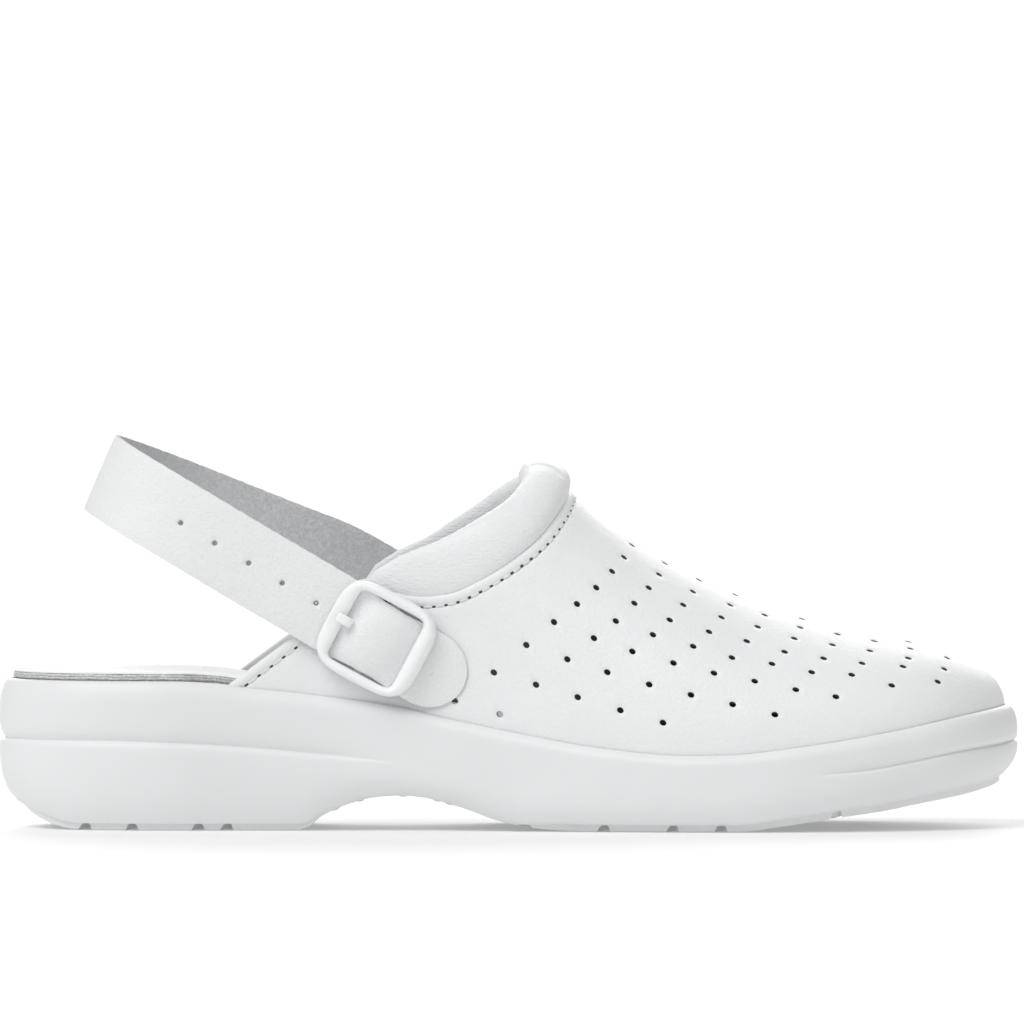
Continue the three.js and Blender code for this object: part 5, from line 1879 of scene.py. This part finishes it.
@dataclass
class Strap:
    """Leather band from its round tip through the buckle and round the heel to the inner quarter."""

    last: Last
    seat: BuckleSeat
    width: float = 23 * MM
    thick: float = 1.8 * MM
    reach: float = 91 * MM
    tip_reach: float = 28 * MM
    heel_width: float = 62 * MM
    inner_reach: float = 104 * MM
    inner_slope: float = math.radians(21.7)
    inner_drop: float = 5 * MM
    drop_from: float = 78 * MM
    tip_thin: float = 0.32
    squeeze: float = 0.9 * MM
    bow: float = 2.0 * MM
    heel_tilt: float = math.radians(23)
    tip_narrow: float = 0.7 * MM
    under_bar: float = 0.6 * MM
    over_bar: float = 2.8 * MM
    bar_width: float = 3.2 * MM
    window: float = 17.6 * MM
    tail_proud: float = 0.6 * MM
    hole_radius: float = 0.82 * MM
    hole_back: float = 0.25
    hole_sink: float = 0.25 * MM
    hole_corners: int = 16
    hole_backs: tuple[float, ...] = (20.2 * MM, 31.4 * MM, 42.5 * MM, 53.7 * MM, 65.0 * MM)
    prong_back: float = 9.3 * MM
    step: float = 1.5 * MM

    def rise(self, a: float) -> float:
        """Returns the height of the strap's underside over the seat."""
        away = float(smoothstep(abs(a), self.bar_width / 2, self.window / 2))
        flat = self.over_bar + (self.under_bar - self.over_bar) * away
        gap = self.last.fit_gap
        skin = max(self.seat.lift(a, w * self.width) for w in (-0.4, 0, 0.4)) + gap
        return max(skin, gap) if abs(a) > self.seat.length / 2 else flat

    def path(self) -> tuple[Points, Points, Points]:
        """Returns the middle line from the tip, its width directions, and its run at the seat's middle."""
        last, seat = self.last, self.seat
        places = np.arange(self.tip_reach, -seat.length / 2, -0.5 * MM)
        rises = np.array([self.rise(a) for a in places])
        for _ in range(60):
            rises[1:-1] = 0.5 * rises[1:-1] + 0.25 * (rises[:-2] + rises[2:])
        front = seat.point(places, 0 * places, rises + self.thick / 2)
        forward = np.array([math.cos(seat.slope), 0, -math.sin(seat.slope)])
        inner_forward = np.array([math.cos(self.inner_slope), 0, -math.sin(self.inner_slope)])
        heel = seat.middle - forward * self.reach

        def inner_y(x: float, z: float) -> float:
            """Returns where the strap's middle lies beside the inner quarter."""
            return float(last.flank(x, z, INNER)[0, 1]) + self.tail_proud + last.fit_gap + self.thick / 2

        def inner_point(reach: float) -> Points:
            """Returns the inner strand's point that far from the heel."""
            point = heel + inner_forward * reach
            point[2] -= self.inner_drop * smoothstep(reach, self.drop_from, self.inner_reach)
            point[1] = inner_y(point[0], point[2])
            return point

        start = np.array(-LOOP_ROWS[0].back * self.reach)
        start_y = seat.point(start, np.array(0.0), np.array(self.thick))[1]
        quarter_y = inner_point((1 - LOOP_ROWS[0].back) * self.reach)[1]

        def half(quarter: float, row: LoopRow) -> float:
            """Returns half the loop's width at a row."""
            return row.half * lerp(abs(quarter), (self.heel_width + self.thick) / 2, row.heel)

        outer = []
        for row in LOOP_ROWS:
            point = seat.middle - forward * row.back * self.reach
            outer.append([point[0], -half(start_y, row), point[2]])
        inner = []
        for row in LOOP_ROWS[:-1][::-1]:
            point = heel + inner_forward * (1 - row.back) * self.reach
            inner.append([point[0], half(quarter_y, row), point[2]])
        ends = [inner_point(share * self.inner_reach) for share in (0.9, 1)]
        loop = curve_through(np.vstack([front[-1:], outer, inner, ends]), False, 40)
        run = run_length(loop)
        at = np.arange(0.5 * MM, run[-1], 0.5 * MM)
        back = sample(run, loop, at)
        share = (at / run[-1])[:, None]
        heel_up = np.array([math.sin(self.heel_tilt), 0, math.cos(self.heel_tilt)])
        tall = ends[1] + [0, 0, 1 * MM]
        tall_up = unit(np.array([0, (inner_y(tall[0], tall[2]) - ends[1][1]) / MM, 1]))
        first = lerp(seat.up, heel_up, smoothstep(share, 0.05, 0.45))
        second = lerp(heel_up, tall_up, smoothstep(share, 0.55, 0.95))
        ups = np.vstack([np.tile(seat.up, (len(front), 1)), np.where(share < 0.5, first, second)])
        line = np.vstack([front, back])
        free = np.arange(len(line)) > len(front) - 8
        for _ in range(24):
            eased = line.copy()
            eased[1:-1] = 0.5 * line[1:-1] + 0.25 * (line[:-2] + line[2:])
            line = np.where(free[:, None], eased, line)
        middle_run = np.interp(self.tip_reach, self.tip_reach - places, run_length(line)[: len(front)])
        return line, ups, middle_run

    def build(self) -> Piece:
        """Makes the strap."""
        line, ups, middle_run = self.path()
        run = run_length(line)
        travel = unit(np.gradient(line, axis=0))
        out = unit(np.cross(ups, travel))
        wide = unit(np.cross(travel, out))
        total, half = run[-1], self.width / 2
        tip = np.linspace(math.pi / 2, -math.pi / 2, 27)
        tip_edge = np.column_stack([half - half * np.cos(tip), half * np.sin(tip)])
        straight = np.arange(half + 1 * MM, total, 1 * MM)
        low = np.column_stack([straight, np.full(len(straight), -half)])
        high = np.column_stack([straight[::-1], np.full(len(straight), half)])
        outer = np.vstack([tip_edge, low, high])
        s = run_length(outer)
        wobble = 0.04 * MM * (np.sin(s / (0.9 * MM)) + np.sin(s / (0.47 * MM) + 2) + np.sin(s / (6.7 * MM)))
        outer[:, 1] += wobble * np.sign(outer[:, 1])
        middles = [(middle_run + back, 0.0) for back in (self.prong_back, *self.hole_backs)]
        turns = full_turn(self.hole_corners)
        circle = np.column_stack([np.cos(turns), np.sin(turns)])
        walls = [np.array(middle) + circle * self.hole_radius for middle in middles]
        around = [np.array(middle) + circle * (self.hole_radius + 0.28 * MM) for middle in middles]
        fixed = np.vstack([outer, *walls, *around])
        rows = np.arange(-half + self.step * 0.6, half, self.step)
        columns = np.arange(1 * MM, total - 0.8 * MM, self.step * 0.8)
        grid = np.array([(a, w) for a in columns for w in rows])
        gap, _ = nearest(on_plane(grid), on_plane(fixed))
        hole_gap = np.min([np.linalg.norm(grid - middle, axis=1) for middle in middles], axis=0)
        grid = grid[(gap > 0.6 * MM) & (hole_gap > self.hole_radius + 0.3 * MM) & inside(grid, outer)]
        flat = np.vstack([fixed, grid])
        first_lip = len(outer) + self.hole_corners * len(middles)
        wall_loops = ring_numbers(len(outer), len(middles), self.hole_corners)
        lips = [closed_row(ring) for ring in ring_numbers(first_lip, len(middles), self.hole_corners)]
        triangles = flat_triangles(flat, lips, wall_loops, np.arange(len(outer)))
        at = np.clip(flat[:, 0], 0, total)
        face = unit(sample(run, out, at))
        pressed = np.exp(-(((flat[:, 0:1] - middle_run) / (9 * MM)) ** 4)) * self.squeeze / half
        pressed = pressed + (1 - smoothstep(flat[:, 0:1], 12 * MM, 40 * MM)) * self.tip_narrow / half
        body = sample(run, line, at) + sample(run, wide, at) * flat[:, 1:2] * (1 - pressed)
        edge_gap, _ = nearest(on_plane(flat), on_plane(outer))
        soft = 0.3 * MM * (1 - smoothstep(edge_gap, 0, 1.4 * MM))
        lowered = np.zeros(len(flat))
        lowered[len(outer) : first_lip] = self.hole_sink
        pucker = self.pucker(flat, middle_run)
        pared = self.thick * (1 - self.tip_thin) * (1 - smoothstep(flat[:, 0], 1 * MM, 15 * MM))
        top = body + face * (self.thick / 2 - pared - soft - lowered + pucker)[:, None]
        back = body - face * (self.thick / 2 - soft * 0.6 - pucker)[:, None]
        ahead = middle_run - flat[:, 0]
        across = flat[:, 1] * (1 - pressed[:, 0])
        lying = smoothstep(ahead, self.seat.length / 2 - 1.5 * MM, self.seat.length / 2 + 3 * MM)[:, None]
        floor = self.seat.lifts(ahead, across) + self.last.fit_gap
        leather = self.thick - pared - soft - lowered
        top = lerp(top, self.seat.point(ahead, across, floor + leather), lying)
        back = lerp(back, self.seat.point(ahead, across, floor), lying)
        for wall in wall_loops:
            back[wall] = lerp(back[wall].mean(axis=0), back[wall], self.hole_back)
        bag = MeshBag(self.last.shift)
        rims = [(np.arange(len(outer)), 0.12 * MM, 3, 2)] + [(wall, 0.0, 1, 2) for wall in wall_loops]
        thick_sheet(bag, top, back, triangles, rims)
        materials = [Finish.STRAP.material, Finish.SUEDE.material, Finish.CUT_EDGE.material]
        piece = bag.build("sling_strap", materials, 50)
        return finished(piece, ["heel_strap"])

    def pucker(self, flat: Points, middle_run: float) -> Points:
        """Returns the strap's own low waves, and its bow across the buckle's window."""
        s, w = flat[:, 0] - middle_run, flat[:, 1]
        arch = np.maximum(np.cos(w / self.width * math.pi), 0) ** 0.7
        bow = self.bow * np.exp(-((s / (7.6 * MM)) ** 4)) * arch
        wave = 0.10 * MM * np.sin(s / (7.3 * MM) + w / (9 * MM)) + 0.06 * MM * np.sin(s / (3.9 * MM) + 1.3)
        return bow + wave * smoothstep(s, 18 * MM, 30 * MM)


class ProngRow(NamedTuple):
    """Point of the prong: share of its reach back from the bar, and height over the seat in millimetres."""

    back: float
    height: float


PRONG_ROWS = table(
    ProngRow, (0.12, 0.9), (0.3, 0.9), (0.5, 1.1), (0.62, 2.0), (0.66, 3.2), (0.685, 4.4), (0.705, 5.2),
    (0.75, 5.75), (0.83, 5.9), (0.93, 5.9), (1.0, 5.7),
)


@dataclass
class Buckle:
    """Domed white frame with its hidden bar, and the prong."""

    seat: BuckleSeat
    shift: Points
    length: float = 30.4 * MM
    width: float = 28.0 * MM
    turn_in: float = math.radians(2.3)
    thick: float = 4.4 * MM
    floor: float = 3.0 * MM
    rail_floor: float = 0.9 * MM
    window_length: float = 20.7 * MM
    window_width: float = 22.0 * MM
    window_shift: tuple[float, float] = (-0.1 * MM, -0.1 * MM)
    outer_power: float = 3.8
    window_power: float = 11.0
    bar_width: float = 3.2 * MM
    bar_thick: float = 2.2 * MM
    bar_short: float = 2.2 * MM
    prong_half: float = 1.4 * MM
    prong_reach: float = 12.8 * MM
    dome_power: float = 0.72
    recess_back: float = 11.9 * MM
    recess_half: tuple[float, float] = (2.4 * MM, 1.9 * MM)
    recess_depth: float = 1.3 * MM
    around: int = 180
    steps: int = 28

    def rounded(self, length: float, width: float, power: float, turns: Points) -> Points:
        """Returns a four-sided outline with round corners; a higher power is squarer."""

        def bend(value: Points) -> Points:
            """Returns the value pressed towards the corners."""
            return np.sign(value) * np.abs(value) ** (2 / power)

        return np.column_stack([length / 2 * bend(np.cos(turns)), width / 2 * bend(np.sin(turns))])

    def turned(self, flat: Points) -> Points:
        """Returns flat points turned by the frame's own small turn."""
        cosine, sine = math.cos(self.turn_in), math.sin(self.turn_in)
        along, across = flat[..., 0], flat[..., 1]
        return np.stack([along * cosine - across * sine, along * sine + across * cosine], -1)

    def frame(self) -> Piece:
        """Makes the frame with the bar under the strap."""
        seat = self.seat
        turns = full_turn(self.around)
        outer = self.rounded(self.length, self.width, self.outer_power, turns)
        window = self.rounded(self.window_length, self.window_width, self.window_power, turns)
        window = window + self.window_shift
        on_rail = smoothstep(np.abs(outer[:, 1]) / (self.width / 2), 0.72, 0.93)
        low = lerp(self.floor, self.rail_floor, on_rail)
        rightness = smoothstep(outer[:, 0] / (seat.length / 2), 0.2, 0.9)
        leftness = smoothstep(-outer[:, 0] / (seat.length / 2), 0.2, 0.9)
        crown = self.thick * (0.86 + 0.14 * rightness - 0.22 * leftness)
        rows = []
        for k in range(self.steps):
            angle = 2 * math.pi * k / self.steps
            flat = lerp(window, outer, 0.5 - 0.5 * math.cos(angle))
            mouth = self.floor + 0.5 * MM
            if math.sin(angle) >= 0:
                height = mouth + (crown - 0.5 * MM) * math.sin(angle) ** self.dome_power
                place = ((flat[:, 0] + self.recess_back) / self.recess_half[0]) ** 4
                aside = (flat[:, 1] / self.recess_half[1]) ** 4
                height = height - self.recess_depth * np.exp(-place - aside)
            else:
                height = mouth + (low - mouth) * (-math.sin(angle)) ** 0.5
            flat = self.turned(flat)
            rows.append(seat.point(flat[:, 0], flat[:, 1], height))
        bag = MeshBag(self.shift)
        bag.add_points(np.array(rows))
        numbers = np.arange(self.steps * self.around).reshape(self.steps, self.around)
        bag.join_rows(np.vstack([numbers, numbers[:1]]), True)
        self.add_bar(bag)
        piece = bag.build("buckle_ring", [Finish.BUCKLE.material], 60)
        return finished(piece, ["buckle_frame"])

    def add_bar(self, bag: MeshBag) -> None:
        """Adds the bar that the strap runs over, closed at each end."""
        half = self.seat.width / 2 - self.bar_short
        section = self.rounded(self.bar_width, self.bar_thick, 4, full_turn(16))
        height = section[:, 1] + self.bar_thick / 2 + 0.3 * MM
        places = np.linspace(-half, half, 25)
        grid = np.array([self.seat.point(section[:, 0], np.full(16, place), height) for place in places])
        first = bag.add_grid(grid, True)
        bag.add_cap(first, 16)
        bag.add_cap(first + 24 * 16, 16)

    def prong(self) -> Piece:
        """Makes the prong, from the bar up through the strap's hole and over the frame's left side."""
        seat = self.seat
        reaches, heights = np.array(PRONG_ROWS).T
        middle = curve_through(np.column_stack([-(reaches * self.prong_reach), heights * MM]), False, 6)
        travel = unit(np.gradient(middle, axis=0))
        across = np.column_stack([-travel[:, 1], travel[:, 0]])
        run = run_length(middle)
        ends = np.minimum(run, run[-1] - run)
        full = np.sqrt(np.clip(1 - (1 - np.clip(ends / (0.8 * MM), 0, 1)) ** 2, 0.05, 1))
        section = self.rounded(2 * self.prong_half, 1.5 * MM, 3.6, full_turn(20))
        grid = np.array([
            seat.point(
                point[0] + section[:, 1] * side[0] * size,
                section[:, 0] * size,
                point[1] + section[:, 1] * side[1] * size,
            )
            for point, side, size in zip(middle, across, full)
        ])
        bag = MeshBag(self.shift)
        first = bag.add_grid(grid, True)
        bag.add_cap(first, 20)
        bag.add_cap(first + 20 * (len(middle) - 1), 20)
        piece = bag.build("buckle_tab", [Finish.BUCKLE.material], 60)
        return finished(piece, ["buckle_prong"])


# Studio


class Lamp(NamedTuple):
    """Wide distant lamp: power, apparent width in radians, and the direction that it stands in."""

    name: str
    power: float
    angle: float
    place: tuple[float, float, float]


@dataclass
class Studio:
    """Pale floor, soft light and the camera at the photograph's angle."""

    pixels: float = 1024
    pixels_per_mm: float = 3.51
    floor_row: float = 831
    heel_column: float = 0
    elevation: float = math.radians(1.8)
    distance: float = 12.0
    sensor: float = 36.0
    floor_size: float = 90.0
    floor_tone: float = 0.78
    floor_glow: float = 0.165
    sky_low: float = 0.46
    sky_high: float = 0.56
    key: Lamp = Lamp("key_softbox", 1.35, math.radians(40), (-0.45, -0.55, 1.0))
    back: Lamp = Lamp("back_softbox", 1.15, math.radians(40), (0.05, 1.0, 0.5))

    @property
    def sight_rise(self) -> float:
        """How much higher a point looks for each metre that it lies further away."""
        return math.tan(self.elevation)

    def camera(self, low: Vector, near_y: float) -> None:
        """Places the camera.

        Args:
            low: lowest corner of the object.
            near_y: plane in which the scale of the picture holds.
        """
        width = self.pixels / self.pixels_per_mm * MM
        target = Vector((
            low.x + (self.pixels / 2 - self.heel_column) / self.pixels_per_mm * MM,
            near_y,
            (self.floor_row - self.pixels / 2) / self.pixels_per_mm * MM,
        ))
        data = bpy.data.cameras.new("photo_camera")
        data.sensor_width = self.sensor
        data.sensor_fit = "HORIZONTAL"
        data.lens = self.sensor * (self.distance - near_y) / width
        data.clip_end = 200
        camera = bpy.data.objects.new("photo_camera", data)
        away = Vector((0, -math.cos(self.elevation), math.sin(self.elevation)))
        camera.location = target + away * self.distance
        camera.rotation_euler = (-away).to_track_quat("-Z", "Y").to_euler()
        bpy.context.scene.collection.objects.link(camera)
        bpy.context.scene.camera = camera

    def hang(self, lamp: Lamp) -> None:
        """Hangs one lamp that faces the shoe."""
        data = bpy.data.lights.new(lamp.name, "SUN")
        data.energy = lamp.power
        data.angle = lamp.angle
        piece = bpy.data.objects.new(lamp.name, data)
        piece.rotation_euler = (-Vector(lamp.place)).to_track_quat("-Z", "Y").to_euler()
        bpy.context.scene.collection.objects.link(piece)

    def floor(self) -> None:
        """Lays the pale floor, a light table."""
        half = self.floor_size / 2
        mesh = bpy.data.meshes.new("studio_floor")
        corners = [(-half, -half, 0), (half, -half, 0), (half, half, 0), (-half, half, 0)]
        mesh.from_pydata(corners, [], [(0, 1, 2, 3)])
        floor = bpy.data.objects.new("studio_floor", mesh)
        desk = ShaderDesk("studio_floor")
        cloud = desk.noise(400 * MM, 1.0)
        colour = desk.tones(cloud, grey(self.floor_tone - 0.004), grey(self.floor_tone), 0.3, 0.7)
        glow = {"Emission_Color": (1, 1, 1, 1), "Emission_Strength": self.floor_glow}
        mesh.materials.append(desk.shade(Base_Color=colour, Roughness=0.7, Specular_IOR_Level=0.2, **glow))
        bpy.context.scene.collection.objects.link(floor)

    def air(self) -> None:
        """Makes the bright room around, brighter above than at the sides."""
        world = bpy.data.worlds.new("studio_air")
        world.use_nodes = True
        tree = world.node_tree
        background = tree.nodes["Background"]
        background.inputs["Color"].default_value = (1, 1, 1, 1)
        place = tree.nodes.new("ShaderNodeTexCoord")
        split = tree.nodes.new("ShaderNodeSeparateXYZ")
        level = tree.nodes.new("ShaderNodeMapRange")
        tree.links.new(place.outputs["Generated"], split.inputs["Vector"])
        tree.links.new(split.outputs["Z"], level.inputs["Value"])
        level.inputs["To Min"].default_value = self.sky_low
        level.inputs["To Max"].default_value = self.sky_high
        tree.links.new(level.outputs["Result"], background.inputs["Strength"])
        bpy.context.scene.world = world

    def build(self, low: Vector, near_y: float) -> None:
        """Sets up floor, lights, sky and camera."""
        self.floor()
        self.hang(self.key)
        self.hang(self.back)
        self.air()
        bpy.context.scene.view_settings.view_transform = "Standard"
        self.camera(low, near_y)


def main() -> None:
    """Builds the clog and its studio."""
    logging.basicConfig(level=logging.INFO, format="%(message)s")
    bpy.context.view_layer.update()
    last = Last()
    studio = Studio()
    studio.build(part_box("sole")[0], -0.4 * last.ball_width)
    sole = Sole(last)
    sole.build()
    Footbed(last).build(sole)
    upper = Upper(last, studio.sight_rise)
    upper.build()
    sew_upper(last, upper)
    Collar(last).build()
    seat = BuckleSeat(last)
    Strap(last, seat).build()
    buckle = Buckle(seat, last.shift)
    buckle.frame()
    buckle.prong()


if __name__ == "__main__":
    main()
